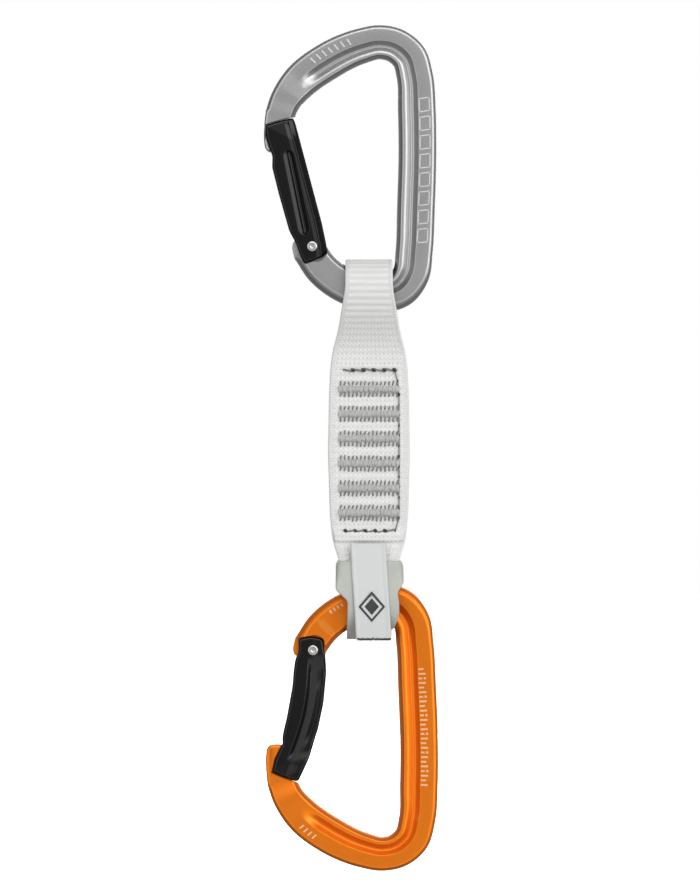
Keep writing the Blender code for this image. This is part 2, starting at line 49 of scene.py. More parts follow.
# ---- carabiner frame: x, z and width of the bar, from the nose to the hinge ----
FRAME_LINE = [
    (-31.6, -18.9, 9.6), (-29.4, -13.3, 10.2), (-25.0, -7.5, 11.6), (-16.4, -1.0, 12.2),
    (-4.9, 4.3, 11.4), (0.9, 5.5, 11.0), (6.0, 4.5, 11.2), (10.5, 0.8, 11.6),
    (12.4, -5.4, 11.8), (13.1, -16.7, 12.3), (13.3, -29.0, 12.3), (12.8, -48.7, 12.3),
    (12.2, -62.7, 12.1), (11.2, -69.9, 12.0), (7.9, -74.6, 11.8), (-0.5, -76.4, 11.4),
    (-8.4, -74.4, 11.4), (-17.7, -68.0, 11.3), (-22.1, -61.7, 10.8),
]
BAND_WIDTH = 12.3
BEVEL_CUTS = (0.45, 1.25)
GROOVE_EDGES = (5.7, 7.3, 8.0, 9.6)
RIB_EDGES = (1.4, 0.6)
SECTION_CUTS = (0.5, 0.45, 0.35, 0.18, 0.5, 0.6, 0.4, 0.9, 0.8, 1.0)
FRAME_HALF = 4.5
RIB_HALF = 4.3
GROOVE_DEPTH = 1.8
MARK_LAYER = (-0.02, 0.05)
NOSE_RISE = 0.45
GROOVE_START = (12.5, 20.0)
GROOVE_END = (138.0, 148.0)
SEAT_START = (118.0, 134.0)
STEPS_PER_STATION = 12
CORNER_STEPS = 4

# ---- nose and hinge ----
HINGE = (-20.9, -60.9)
NOSE_HEAD = [(-33.5, -13.5), (-36.0, -17.0), (-36.45, -21.5), (-36.6, -26.0), (-36.2, -29.0),
             (-35.2, -30.2), (-32.0, -30.4), (-30.7, -29.6), (-30.2, -26.0), (-29.2, -20.5), (-29.5, -15.0)]
NOSE_HALF = 3.9
NECK_HALF = 1.7
SLOT_HALF = 2.05
GATE_HALF = 4.6
GATE_OPENING = 32.0
TIP_SLOT_RADIUS = 31.9
BASE_SLOT_RADIUS = 7.0
GATE_SWEEP = 6.6
INNER_WALL = 1.8
TIP_ZONE = 26.0
RIVET_BORE = 1.6
RIVET_SEAT = 4.85
SPRING_BORE = 1.6
SPRING_BORE_END = 19.8
THROUGH = 8.0
CAM_LOW = 4.5
CAM_HIGH = 5.5

# ---- gates, drawn from the rivet; z runs towards the nose ----
STRAIGHT_GATE = dict(
    inner=[(-5.4, 40.1), (3.2, 7.6), (4.6, 1.0), (5.0, -2.1)],
    base=[(3.2, -3.6), (-2.5, -5.6)],
    outer=[(-4.2, -2.4), (-5.3, 1.0), (-7.4, 4.8), (-10.9, 17.2), (-13.0, 25.6), (-12.9, 29.2),
           (-13.4, 30.8), (-14.5, 34.1), (-15.0, 35.9), (-15.3, 39.2)],
    arc=(0.0, 0.0, 42.1, 111.3, 98.3), bore_angle=104.8)
BENT_GATE = dict(
    inner=[(-4.9, 42.2), (-1.5, 35.1), (1.5, 25.4), (3.3, 17.2), (4.3, 7.3), (4.0, 1.5)],
    base=[(3.3, -3.7), (-0.6, -4.5), (-4.7, -3.7)],
    outer=[(-4.7, 0.5), (-5.8, 3.0), (-6.4, 7.1), (-6.7, 11.2), (-8.6, 21.3), (-10.3, 28.3),
           (-10.1, 30.2), (-12.5, 35.1), (-13.5, 39.5)],
    arc=(6.0, 2.3, 42.0, 117.7, 106.3), bore_angle=97.1)
RIM = 1.0

# The straight gate's channel, and the strip and bevel inside it, by distance from the inner edge.
CHANNEL_ENDS = np.array([(-7.6, 29.0), (-2.9, 6.0)])
CHANNEL_HALF = 2.2
CHANNEL_PLACES = [-1.0, -0.8, -0.3, 0.08, 0.22, 0.36, 0.95, 1.0]
CHANNEL_DEPTHS = [0.0, 0.04, 0.44, 1.12, 1.22, 1.16, 0.03, 0.0]
STRIP = dict(depth=0.35, start=3.6, width=1.2)
BEVEL = dict(depth=1.5, start=2.0, width=1.7)
STRAIGHT_FACET = dict(depth=0.7, start=36.4, slant=0.5, middle=-10.0)

# The bent gate's crest as heights and places, and its step, ridge and edge, by distance from the crest.
CREST_HEIGHTS = [-4.0, 7.0, 17.0, 25.0, 35.0, 42.0]
CREST_PLACES = [0.6, 0.6, -0.4, -2.4, -6.2, -9.4]
STEP_DEPTH = 1.1
STEP_PLACES = [-2.6, -2.3, -1.1, -0.8]
STEP_SHARES = [0.0, 0.06, 0.94, 1.0]
RIDGE_PLACES = [-0.8, 0.9, 2.2]
RIDGE_DEPTHS = [0.0, 0.50, 0.78]
EDGE_FALL = dict(depth=0.55, start=0.9, width=1.3)
BENT_FACET = dict(depth=0.5, start=36.8, slant=0.35, middle=-9.0)
FACET_RUN = 4.0

# ---- the lower carabiner is the same frame turned over about X ----
LOWER_PLACE = (Matrix.Translation((0.8, 0.0, -252.6)) @ Matrix.Rotation(radians(-0.5), 4, "Y")
               @ Matrix.Rotation(pi, 4, "X"))
UPPER_PLACE = Matrix.Identity(4)

# ---- sling ----
SLING_X = -2.45
PLY = 1.7
INNER_PLY = 1.0
PLY_GAP = 0.25
EYE_RUN = 24.0
EYE_FLANK = (14.0, 9.0)
UPPER_EYE = dict(z=-74.6, radius=8.0)
LOWER_EYE = dict(z=-177.7, radius=7.6)
SLING_WIDTHS = [(-64.9, 15.3), (-75.0, 15.5), (-80.0, 17.4), (-88.0, 20.0), (-95.5, 24.0),
                (-101.0, 25.2), (-110.0, 26.0), (-128.0, 26.6), (-148.0, 25.4), (-156.0, 23.8),
                (-161.0, 20.6), (-165.0, 18.6), (-172.0, 14.0), (-188.0, 12.4)]
TACK_COUNT = 6
TACK_FIRST = -107.2
TACK_PITCH = 8.04
TACK_SIZE = (19.6, 4.8)
SEAM_BOX = (10.5, -101.0, -153.2)
SEAM_CORNER = 3.6
SEAM_PITCH = 3.3
TACK_TEETH = 15
TOOTH_THREAD = (0.24, 0.30)
CORE_THREAD = (0.25, 0.5)
SEAM_LEVEL = dict(rise=0.35, thread=0.30, knot=0.62, reach=(0.62, -0.35))
SEAM_UPRIGHT = dict(rise=0.0, thread=0.17, knot=0.30, reach=(0.05, 0.55))
KNOT_PLACES = (-1.0, -0.6, 0.0, 0.6, 1.0)
KNOT_SIZES = np.array([0.4, 0.85, 1.0, 0.85, 0.4])
WEAVE_STEP = 0.24
TAPE_HALF = 13.0
TAPE_COLUMNS = 104
BACK_COLUMNS = 14
EDGE_STEPS = 7

# ---- keeper and label ----
KEEPER_WALL = 1.2
KEEPER_GAP = 0.25
KEEPER_TOP = -162.9
KEEPER_LEFT = [(-162.9, -12.6), (-163.8, -13.2), (-172.2, -13.3), (-175.9, -9.4), (-190.0, -9.8)]
KEEPER_RIGHT = [(-162.9, 7.9), (-164.4, 8.7), (-169.8, 8.8), (-173.2, 6.8), (-176.0, 7.3), (-179.7, 7.4),
                (-182.6, 6.6), (-185.6, 5.3), (-190.0, 5.2)]
KEEPER_WRAP_END = 4.9
KEEPER_FLAP_TURN = 0.76
KEEPER_CORNER = 2.2
KEEPER_VOXEL = 0.24

LABEL_TOP = -157.4
LABEL_BOTTOM = -188.6
LABEL_WIDTH = 11.5
LABEL_THICKNESS = 0.6
LABEL_LEAN = 1.9
LABEL_X = -1.85
LABEL_COLUMNS = 30
GLYPH_Z = -177.6
GLYPH_SIZE = 5.0
GLYPH_RAISE = 0.07

# ---- studio, in metres but for the floor ----
FLOOR_HALF = 6000.0
FLOOR_Z = -320.0
CAMERA_DISTANCE = 2.0
VIEW_SIZE = 0.2909
VIEW_CENTRE = (-0.00861, -0.12615)
LIGHT_TARGET = (0.0, 0.0, -0.12)
SOFTBOXES = (
    ("key_box", (1.45, -1.0, 0.35), (1.2, 1.6), 12.0),
    ("top_box", (0.1, -1.05, 1.35), (1.6, 0.9), 8.0),
    ("back_box", (0.15, 2.0, 0.35), (1.4, 1.4), 17.0),
    ("fill_box", (-1.4, -1.1, 0.1), (0.7, 1.5), 2.6),
)
WORLD_AXES = (("Y", 1.0, 0.0), ("Z", 1.20, 1.80), ("X", 0.80, 1.15))
WORLD_STOPS = ((0.0, 0.34), (0.25, 0.22), (0.40, 0.14), (0.66, 0.13), (0.76, 0.57),
               (0.86, 1.0), (0.92, 1.0), (0.97, 0.42), (1.0, 0.34))


# ================================================================ meshes

def object_from(name, points, faces, finish, smooth=35.0):
    """A named object in metres from points in millimetres."""
    mesh = bpy.data.meshes.new(name)
    mesh.from_pydata((np.asarray(points, float) * MM).tolist(), [], faces)
    mesh.validate()
    item = bpy.data.objects.new(name, mesh)
    bpy.context.scene.collection.objects.link(item)
    tidy(item, smooth)
    if finish:
        mesh.materials.append(finish)
    return item


def tidy(item, smooth):
    """Faces outwards, smooth where the surface is smooth."""
    work = bmesh.new()
    work.from_mesh(item.data)
    bmesh.ops.recalc_face_normals(work, faces=work.faces)
    work.to_mesh(item.data)
    work.free()
    item.data.shade_smooth()
    item.data.set_sharp_from_angle(angle=radians(smooth))


def grid_faces(rows, columns, wrap_rows=False, wrap_columns=False, first=0):
    """Quads over a grid of points, row by row."""
    quads = []
    for i in range(rows if wrap_rows else rows - 1):
        near, far = first + i * columns, first + (i + 1) % rows * columns
        for j in range(columns if wrap_columns else columns - 1):
            k = (j + 1) % columns
            quads.append((near + j, near + k, far + k, far + j))
    return quads


def loft_faces(rows, columns):
    """Faces of a skin over rows of ring points, capped at both ends."""
    last = (rows - 1) * columns
    caps = [tuple(range(columns)), tuple(range(last + columns - 1, last - 1, -1))]
    return grid_faces(rows, columns, wrap_columns=True) + caps


def loft(rings, closed=False):
    """Points and faces of a skin over equal rings, capped unless the row of rings is closed."""
    rows, columns = len(rings), len(rings[0])
    faces = grid_faces(rows, columns, True, True) if closed else loft_faces(rows, columns)
    return [point for ring in rings for point in ring], faces


def joined(shapes):
    """Several closed shapes as one list of points and faces."""
    points, faces = [], []
    for shape_points, shape_faces in shapes:
        first = len(points)
        points += [tuple(point) for point in shape_points]
        faces += [tuple(first + k for k in face) for face in shape_faces]
    return points, faces


def prism(outline, low, high):
    """An outline in x and z, extruded along y."""
    return loft([[(x, y, z) for x, z in outline] for y in (low, high)])


def arc(centre_x, centre_z, radius, start, end, steps):
    """Points of an arc between two angles in degrees."""
    turns = np.radians(np.linspace(start, end, steps))
    return [(centre_x + radius * cos(t), centre_z + radius * sin(t)) for t in turns]


def rounded(points, cuts, steps=CORNER_STEPS, closed=True):
    """Round the corners of an outline: each corner becomes a short curve of its own size."""
    points = np.asarray(points, float)
    count = len(points)
    if np.isscalar(cuts):
        cuts = [cuts] * count
    done = []
    for i, (corner, cut) in enumerate(zip(points, cuts)):
        if not closed and i in (0, count - 1):
            done.append(corner)
            continue
        back, ahead = points[i - 1] - corner, points[(i + 1) % count] - corner
        size_back, size_ahead = np.linalg.norm(back), np.linalg.norm(ahead)
        reach = min(cut, 0.48 * size_back, 0.48 * size_ahead)
        start, end = corner + back / size_back * reach, corner + ahead / size_ahead * reach
        for t in np.linspace(0.0, 1.0, steps):
            done.append((1 - t)**2 * start + 2 * t * (1 - t) * corner + t * t * end)
    return np.array(done)


def inset(outline, amount):
    """Move an outline inwards by the same amount all round."""
    points = np.asarray(outline, float)
    ahead = np.roll(points, -1, axis=0) - points
    ahead /= np.linalg.norm(ahead, axis=1)[:, None]
    behind = np.roll(ahead, 1, axis=0)
    side = np.stack([-ahead[:, 1], ahead[:, 0]], axis=1)
    bisector = side + np.stack([-behind[:, 1], behind[:, 0]], axis=1)
    bisector /= (bisector * side).sum(axis=1)[:, None]
    area = np.sum(points[:, 0] * np.roll(points[:, 1], -1) - points[:, 1] * np.roll(points[:, 0], -1))
    return points + bisector * amount * np.sign(area)


def soft_prism(outline, half, radius, steps=4):
    """An outline extruded to +-half with rounded rims."""
    rows = []
    for turn in np.linspace(0.0, pi / 2, steps):
        rows.append((inset(outline, radius * (1 - sin(turn))), half - radius * (1 - cos(turn))))
    rings = [[(x, -y, z) for x, z in ring] for ring, y in rows]
    rings += [[(x, y, z) for x, z in ring] for ring, y in reversed(rows)]
    return loft(rings)


def turned(profile, direction, sides=20):
    """A turned solid: (along, radius) pairs about a direction in x and z."""
    ux, uz = direction
    rings = []
    for along, radius in profile:
        turns = [2 * pi * k / sides for k in range(sides)]
        rings.append([(ux * along - uz * radius * cos(t), radius * sin(t),
                       uz * along + ux * radius * cos(t)) for t in turns])
    return loft(rings)


def cut(item, shape, operation="DIFFERENCE"):
    """Apply one Boolean step with a throwaway cutter."""
    cutter = object_from("cutter", *shape, None)
    step = item.modifiers.new("step", "BOOLEAN")
    step.operation = operation
    step.solver = "MANIFOLD"
    step.object = cutter
    bake(item)
    bpy.data.objects.remove(cutter)


def bake(item):
    """Replace an object's mesh with its evaluated mesh."""
    graph = bpy.context.evaluated_depsgraph_get()
    mesh = bpy.data.meshes.new_from_object(item.evaluated_get(graph))
    item.modifiers.clear()
    item.data = mesh


def place(item, matrix):
    """Move a mesh, whose points are in metres, by a matrix in millimetres."""
    moved = matrix.copy()
    moved.translation = matrix.translation * MM
    item.data.transform(moved)
    return item


def shifted(points):
    """Move an outline from the rivet's own axes to the frame's."""
    return [(x + HINGE[0], z + HINGE[1]) for x, z in points]


def ramp(value, low, high):
    """0 below low and 1 above high, with a smooth rise between them."""
    t = np.clip((value - low) / (high - low), 0.0, 1.0)
    return t * t * (3.0 - 2.0 * t)


def distances(points):
    """How far along its polyline each point is."""
    return np.concatenate([[0.0], np.cumsum(np.linalg.norm(np.diff(points, axis=0), axis=1))])


def headings(points):
    """The unit direction of a polyline at each of its points."""
    ahead = np.gradient(points, axis=0)
    return ahead / np.linalg.norm(ahead, axis=1)[:, None]


def smooth_line(stations, steps):
    """A smooth curve through the stations, with every column interpolated alike."""
    points = np.array(stations, float)
    spans = np.linalg.norm(np.diff(points[:, :2], axis=0), axis=1)
    slopes = np.diff(points, axis=0) / spans[:, None]
    before, after = spans[:-1, None], spans[1:, None]
    middle = (slopes[:-1] * after + slopes[1:] * before) / (before + after)
    tangents = np.vstack([slopes[:1], middle, slopes[-1:]])
    line = []
    for i, span in enumerate(spans):
        for t in np.arange(steps) / steps:
            line.append((2 * t**3 - 3 * t**2 + 1) * points[i]
                        + (t**3 - 2 * t**2 + t) * span * tangents[i]
                        + (3 * t**2 - 2 * t**3) * points[i + 1]
                        + (t**3 - t**2) * span * tangents[i + 1])
    return np.array(line + [points[-1]])


# ================================================================ materials

class Nodes:
    """A few short ways to build a node tree."""

    def __init__(self, tree):
        self.tree = tree

    def add(self, kind, **settings):
        """A node whose settings are its own properties or, failing that, its sockets."""
        node = self.tree.nodes.new(kind)
        for key, value in settings.items():
            if hasattr(node, key):
                setattr(node, key, value)
            else:
                node.inputs[key.replace("_", " ")].default_value = value
        return node

    def link(self, output, target):
        self.tree.links.new(output, target)

    def coordinates(self, scale=(1.0, 1.0, 1.0)):
        """Object coordinates in millimetres, stretched by a scale."""
        where = self.add("ShaderNodeTexCoord")
        mapping = self.add("ShaderNodeMapping")
        mapping.inputs["Scale"].default_value = [value / MM for value in scale]
        self.link(where.outputs["Object"], mapping.inputs["Vector"])
        return mapping.outputs["Vector"]

    def noise(self, vector, scale, detail=3.0, roughness=0.5):
        node = self.add("ShaderNodeTexNoise", Scale=scale, Detail=detail, Roughness=roughness)
        self.link(vector, node.inputs["Vector"])
        return node.outputs["Fac"]

    def between(self, value, low, high, start, end):
        """Map a value from low..high to start..end."""
        node = self.add("ShaderNodeMapRange", From_Min=low, From_Max=high, To_Min=start, To_Max=end)
        self.link(value, node.inputs["Value"])
        return node.outputs["Result"]

    def maths(self, operation, first, second=0.0):
        """One sum on outputs or plain numbers."""
        node = self.add("ShaderNodeMath", operation=operation)
        for socket, value in zip(node.inputs, (first, second)):
            if isinstance(value, (int, float)):
                socket.default_value = value
            else:
                self.link(value, socket)
        return node.outputs["Value"]

    def plus(self, first, second):
        return self.maths("ADD", first, second)

    def times(self, first, second):
        return self.maths("MULTIPLY", first, second)

    def colours(self, value, *stops):
        """A colour ramp of (position, colour) stops."""
        node = self.add("ShaderNodeValToRGB")
        elements = node.color_ramp.elements
        while len(elements) < len(stops):
            elements.new(0.5)
        for element, (position, colour) in zip(elements, stops):
            element.position = position
            element.color = (*colour, 1.0)
        self.link(value, node.inputs["Fac"])
        return node.outputs["Color"]


class Finish(Nodes):
    """A material on the Principled shader."""

    def __init__(self, name, colour, roughness, metallic=0.0, **sockets):
        self.material = bpy.data.materials.new(name)
        self.material.use_nodes = True
        super().__init__(self.material.node_tree)
        self.shader = self.tree.nodes["Principled BSDF"]
        self.shader.inputs["Base Color"].default_value = (*colour, 1.0)
        self.shader.inputs["Roughness"].default_value = roughness
        self.shader.inputs["Metallic"].default_value = metallic
        for key, value in sockets.items():
            self.shader.inputs[key.replace("_", " ")].default_value = value

    def set_colour(self, output):
        self.link(output, self.shader.inputs["Base Color"])

    def set_roughness(self, output):
        self.link(output, self.shader.inputs["Roughness"])

    def bump(self, height, distance, strength=1.0):
        """Bump whose height is in millimetres."""
        node = self.add("ShaderNodeBump", Strength=strength, Distance=distance * MM)
        self.link(height, node.inputs["Height"])
        self.link(node.outputs["Normal"], self.shader.inputs["Normal"])

    def cloth(self):
        """The place on the cloth in millimetres, as a vector and as its across and along parts."""
        places = self.add("ShaderNodeUVMap", uv_map="cloth").outputs["UV"]
        split = self.add("ShaderNodeSeparateXYZ")
        self.link(places, split.inputs["Vector"])
        return places, split.outputs["X"], split.outputs["Y"]

    def waves(self, place, pitch):
        """An angle that makes a full turn in each pitch."""
        return self.times(place, 2 * pi / pitch)


def metal(name, colour, edge_wear_and_highlight, roughness, metallic, grain=0.012, **sockets):
    """Tumbled metal: fine grain and faint blotches; edges lean to a brighter colour, part wear and part
    painted highlight, and hollows are darkened with painted shade.
    """
    made = Finish(name, colour, roughness, metallic, **sockets)
    where = made.coordinates()
    fine = made.noise(where, 2.6, 5.0, 0.65)
    broad = made.noise(where, 0.09, 2.0)
    geometry = made.add("ShaderNodeNewGeometry")
    # Part wear, part painted highlight: convex edges, found by pointiness, lean to a brighter colour.
    edge = made.between(geometry.outputs["Pointiness"], 0.53, 0.60, 0.0, 0.55)
    edge = made.times(edge, made.between(broad, 0.35, 0.65, 0.5, 1.0))
    dim = tuple(0.90 * value for value in colour)
    blotches = made.plus(made.times(fine, 0.5), made.times(broad, 0.5))
    tone = made.colours(blotches, (0.30, dim), (0.70, colour))
    mix = made.add("ShaderNodeMix", data_type="RGBA")
    made.link(edge, mix.inputs["Factor"])
    made.link(tone, mix.inputs["A"])
    mix.inputs["B"].default_value = (*edge_wear_and_highlight, 1.0)
    # Painted shade: concave places, found by pointiness, get their colour darkened to as little as 0.6.
    painted_hollow_shade = made.between(geometry.outputs["Pointiness"], 0.44, 0.495, 0.6, 1.0)
    shaded = made.add("ShaderNodeVectorMath", operation="SCALE")
    made.link(mix.outputs["Result"], shaded.inputs[0])
    made.link(painted_hollow_shade, shaded.inputs["Scale"])
    made.set_colour(shaded.outputs["Vector"])
    made.set_roughness(made.between(fine, 0.25, 0.75, roughness - 0.05, roughness + 0.07))
    made.bump(fine, grain)
    return made.material


def webbing_material(name, colour, shade):
    """Woven tape: warp yarns with plies across them; its colour carries painted shade in the weave's
    hollows, on the rims and on the back face.
    """
    made = Finish(name, colour, 0.86, 0.0, Sheen_Weight=0.25, Sheen_Roughness=0.6,
                  Specular_IOR_Level=0.25)
    places, across, along = made.cloth()
    yarns = made.waves(across, 0.36)
    wobble = made.times(made.noise(places, 0.8, 2.0), 1.2)
    warp = made.maths("SINE", made.plus(yarns, wobble))
    twist = made.maths("SINE", made.plus(yarns, made.waves(along, 0.55)))
    fibre = made.noise(places, 9.0, 3.0)
    fine = made.plus(made.times(twist, 0.22), made.times(fibre, 0.9))
    height = made.plus(made.times(warp, 0.28), fine)
    relief = made.add("ShaderNodeAttribute", attribute_name="relief")
    # Painted shade: the stored relief, with a little of the yarn height, darkens the colour towards shade
    # in the hollows.
    tone = made.plus(relief.outputs["Fac"], made.times(height, 0.10))
    made.set_colour(made.colours(tone, (0.10, shade), (0.85, colour)))
    made.bump(height, 0.10, 0.9)
    return made.material


def thread_material(name, colour, shade):
    """Twisted thread, with fibres a tenth of a millimetre apart."""
    made = Finish(name, colour, 0.62, 0.0, Sheen_Weight=0.15, Specular_IOR_Level=0.35)
    where = made.coordinates()
    wave = made.add("ShaderNodeTexWave", bands_direction="DIAGONAL", Scale=1.6, Distortion=1.5)
    made.link(where, wave.inputs["Vector"])
    twist = made.times(wave.outputs["Fac"], 0.5)
    tone = made.plus(twist, made.times(made.noise(where, 1.4, 2.0), 0.5))
    made.set_colour(made.colours(tone, (0.15, shade), (0.75, colour)))
    made.bump(wave.outputs["Fac"], 0.05)
    return made.material


def rubber_material():
    """Moulded rubber: nearly even, with a fine dull skin."""
    made = Finish("moulded_rubber", (0.50, 0.51, 0.46), 0.5, 0.0, Specular_IOR_Level=0.4)
    where = made.coordinates()
    fine = made.noise(where, 3.2, 4.0, 0.6)
    broad = made.noise(where, 0.12, 2.0)
    made.set_colour(made.colours(broad, (0.3, (0.37, 0.38, 0.35)), (0.7, (0.42, 0.43, 0.395))))
    made.set_roughness(made.between(fine, 0.3, 0.7, 0.44, 0.58))
    made.bump(fine, 0.02)
    return made.material


def ribbon_material():
    """Satin ribbon, with fine threads both ways."""
    made = Finish("satin_ribbon", (0.62, 0.64, 0.63), 0.6, 0.0, Sheen_Weight=0.3, Specular_IOR_Level=0.35)
    places, across, along = made.cloth()
    weft = made.times(made.maths("SINE", made.waves(along, 0.34)), 0.5)
    warp = made.times(made.maths("SINE", made.waves(across, 0.22)), 0.25)
    height = made.plus(weft, made.plus(warp, made.noise(places, 6.0, 3.0)))
    made.set_colour(made.colours(made.between(height, -0.4, 1.4, 0.0, 1.0),
                                 (0.0, (0.48, 0.495, 0.49)), (1.0, (0.58, 0.595, 0.59))))
    made.bump(height, 0.03, 0.7)
    return made.material


def floor_material():
    """A pale floor that glows a little, so that it meets the backdrop without a line."""
    made = Finish("studio_floor", (0.93, 0.93, 0.92), 0.9, 0.0, Specular_IOR_Level=0.1,
                  Emission_Color=(1.0, 1.0, 1.0, 1.0), Emission_Strength=1.1)
    where = made.coordinates((0.05, 0.05, 0.05))
    made.set_colour(made.colours(made.noise(where, 0.5),
                                 (0.0, (0.92, 0.92, 0.915)), (1.0, (0.94, 0.94, 0.935))))
    return made.material


# ================================================================ carabiner frame

def frame_section(width, along):
    """The bar's section as (outwards, depth): bevel, flat band, groove and rounded rib."""
    groove = ramp(along, *GROOVE_START) * (1.0 - ramp(along, *GROOVE_END))
    rounding = 1.0 + 0.8 * ramp(along, *SEAT_START)
    band = FRAME_HALF + NOSE_RISE * (1.0 - np.clip((along - 8.5) / 5.0, 0.0, 1.0))
    band -= (FRAME_HALF + NOSE_RISE - NOSE_HALF) * (1.0 - ramp(along, 0.0, 7.0))
    rib = band + (RIB_HALF - band) * groove
    scale = width / BAND_WIDTH
    outer, inner = width / 2, -width / 2
    shoulder, face = (outer - cut_back * rounding for cut_back in BEVEL_CUTS)
    start, floor, rise, crest = (outer - edge * scale for edge in GROOVE_EDGES)
    top, flank = (inner + edge for edge in RIB_EDGES)
    half = [
        (outer, band - 1.6 * rounding), (shoulder, band - 0.55 * rounding), (face, band),
        (start, band), (floor, band - (GROOVE_DEPTH - 0.15) * groove), (rise, band - GROOVE_DEPTH * groove),
        (crest, rib - 0.25 * groove), (top, rib), (flank, rib - 1.3), (inner, rib - 2.9),
    ]
    cuts = SECTION_CUTS + SECTION_CUTS[::-1]
    return rounded(half + [(u, -v) for u, v in reversed(half)], cuts)


def bar_line():
    """Points, headings and distances along the middle of the bar."""
    line = smooth_line(FRAME_LINE, STEPS_PER_STATION)
    return line, headings(line[:, :2]), distances(line[:, :2])


def frame_bar():
    """The bar's section swept along its middle line."""
    rings = []
    for (x, z, width), (hx, hz), distance in zip(*bar_line()):
        rings.append([(x - hz * u, v, z + hx * u) for u, v in frame_section(width, distance)])
    return loft(rings)


def tongue_outline(bore_angle):
    """The hinge tongue round the rivet, with the cam that pushes the plunger as the gate opens."""
    rise = CAM_HIGH - CAM_LOW
    polar = [(148.0, 4.9), (130.0, CAM_LOW), (bore_angle + 6.0, CAM_LOW)]
    polar += [(bore_angle - turn, CAM_LOW + rise * turn / GATE_OPENING) for turn in (8, 16, 24, 32)]
    polar += [(bore_angle - 40.0, CAM_HIGH), (40.0, 4.6), (20.0, 4.4), (0.0, 4.4)]
    cam = [(r * cos(radians(a)), r * sin(radians(a))) for a, r in polar]
    return [(-6.2, 1.4)] + cam + [(4.2, -3.0), (1.0, -8.0), (-3.0, -8.0), (-5.75, -4.0), (-6.6, -0.5)]


def edge_at(points, z):
    """x of an edge at a height."""
    ordered = sorted((pz, px) for px, pz in points)
    return float(np.interp(z, [p[0] for p in ordered], [p[1] for p in ordered]))


def nose_relief(gate, left):
    """What the nose loses to the gate's tip: beyond a left edge and under the tip's arc."""
    cx, cz, radius = gate["arc"][:3]
    top_x, top_z = left[-1]
    first = degrees(atan2(top_z - cz, top_x - cx))
    curve = arc(cx, cz, radius + GAP + 0.05, first, 72.0, 24)
    return shifted(left[:-1] + curve + [(curve[-1][0], left[0][1])])


def gate_sweep(gate):
    """The room that the gate's base needs as the gate opens, as an outline round the rivet."""
    outline = rounded(arc(*gate["arc"], 5) + gate["inner"] + gate["base"] + gate["outer"][:-1], 0.9, 6)
    outline = resample(np.vstack([outline, outline[:1]]), 900)
    angles, radii = np.degrees(np.arctan2(outline[:, 1], outline[:, 0])) % 360, np.hypot(*outline.T)
    sweep, step = [], 3
    for angle in np.arange(0, 360, step):
        turn = (angles - angle) % 360
        reach = radii[(turn < GATE_OPENING + step) | (turn > 360 - step)].max()
        room = min(reach + GAP, GATE_SWEEP)
        sweep.append((room * cos(radians(angle)), room * sin(radians(angle))))
    return sweep


def build_frame(name, gate, finish, matrix, body):
    """The bar with its nose head and hinge tongue, relieved where the gate closes and turns."""
    frame_item = object_from(name, *frame_bar(), finish)
    cut(frame_item, soft_prism(rounded(NOSE_HEAD, 1.4), NOSE_HALF, 0.9, 5), "UNION")
    tongue = rounded(shifted(tongue_outline(gate["bore_angle"])), 0.6)
    cut(frame_item, prism(tongue, -NECK_HALF, NECK_HALF), "UNION")
    outer = [(x - GAP - 0.05, z) for x, z in gate["outer"] if z > TIP_ZONE]
    cheeks = nose_relief(gate, [(outer[0][0], TIP_ZONE)] + outer)
    sweep = shifted(gate_sweep(gate))
    for outline in (cheeks, sweep):
        for low, high in ((NECK_HALF, THROUGH), (-THROUGH, -NECK_HALF)):
            cut(frame_item, prism(outline, low, high))
    heights = np.linspace(TIP_ZONE, TIP_ZONE + 16.0, 5)
    wall = [(edge_at(gate["inner"], z) - INNER_WALL - GAP - 0.1, z) for z in heights]
    cut(frame_item, prism(nose_relief(gate, wall), -THROUGH, THROUGH))
    cut(frame_item, prism(shifted(arc(0, 0, RIVET_BORE, 0, 348, 30)), -THROUGH, THROUGH))
    tidy(frame_item, 32.0)
    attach(place(frame_item, matrix), body)
    return frame_item


# ================================================================ gates

def resample(points, count, bunch=0.0):
    """Evenly spaced points along a polyline, optionally bunched towards both ends."""
    points = np.asarray(points, float)
    where = distances(points)
    t = np.linspace(0.0, 1.0, count)
    t = (1 - bunch) * t + bunch * (0.5 - 0.5 * np.cos(pi * t))
    return np.stack([np.interp(t * where[-1], where, column) for column in points.T], axis=1)


def patch(left, right, bottom, top):
    """A grid of points that fills four edges: left and right run up, bottom and top run right."""
    rows, columns = len(left), len(bottom)
    s = np.linspace(0, 1, columns)[None, :, None]
    t = np.linspace(0, 1, rows)[:, None, None]
    across = (1 - s) * left[:, None, :] + s * right[:, None, :]
    upward = (1 - t) * bottom[None, :, :] + t * top[None, :, :]
    corners = ((1 - s) * (1 - t) * left[0] + s * (1 - t) * right[0]
               + (1 - s) * t * left[-1] + s * t * right[-1])
    return across + upward - corners


def edge_distance(points, outline):
    """Distance of each point from a closed outline."""
    best = np.full(points.shape[:-1], 1e9)
    for start, end in zip(outline, np.roll(outline, -1, axis=0)):
        along = end - start
        t = np.clip(((points - start) @ along) / (along @ along), 0, 1)
        best = np.minimum(best, np.linalg.norm(points - start - t[..., None] * along, axis=-1))
    return best


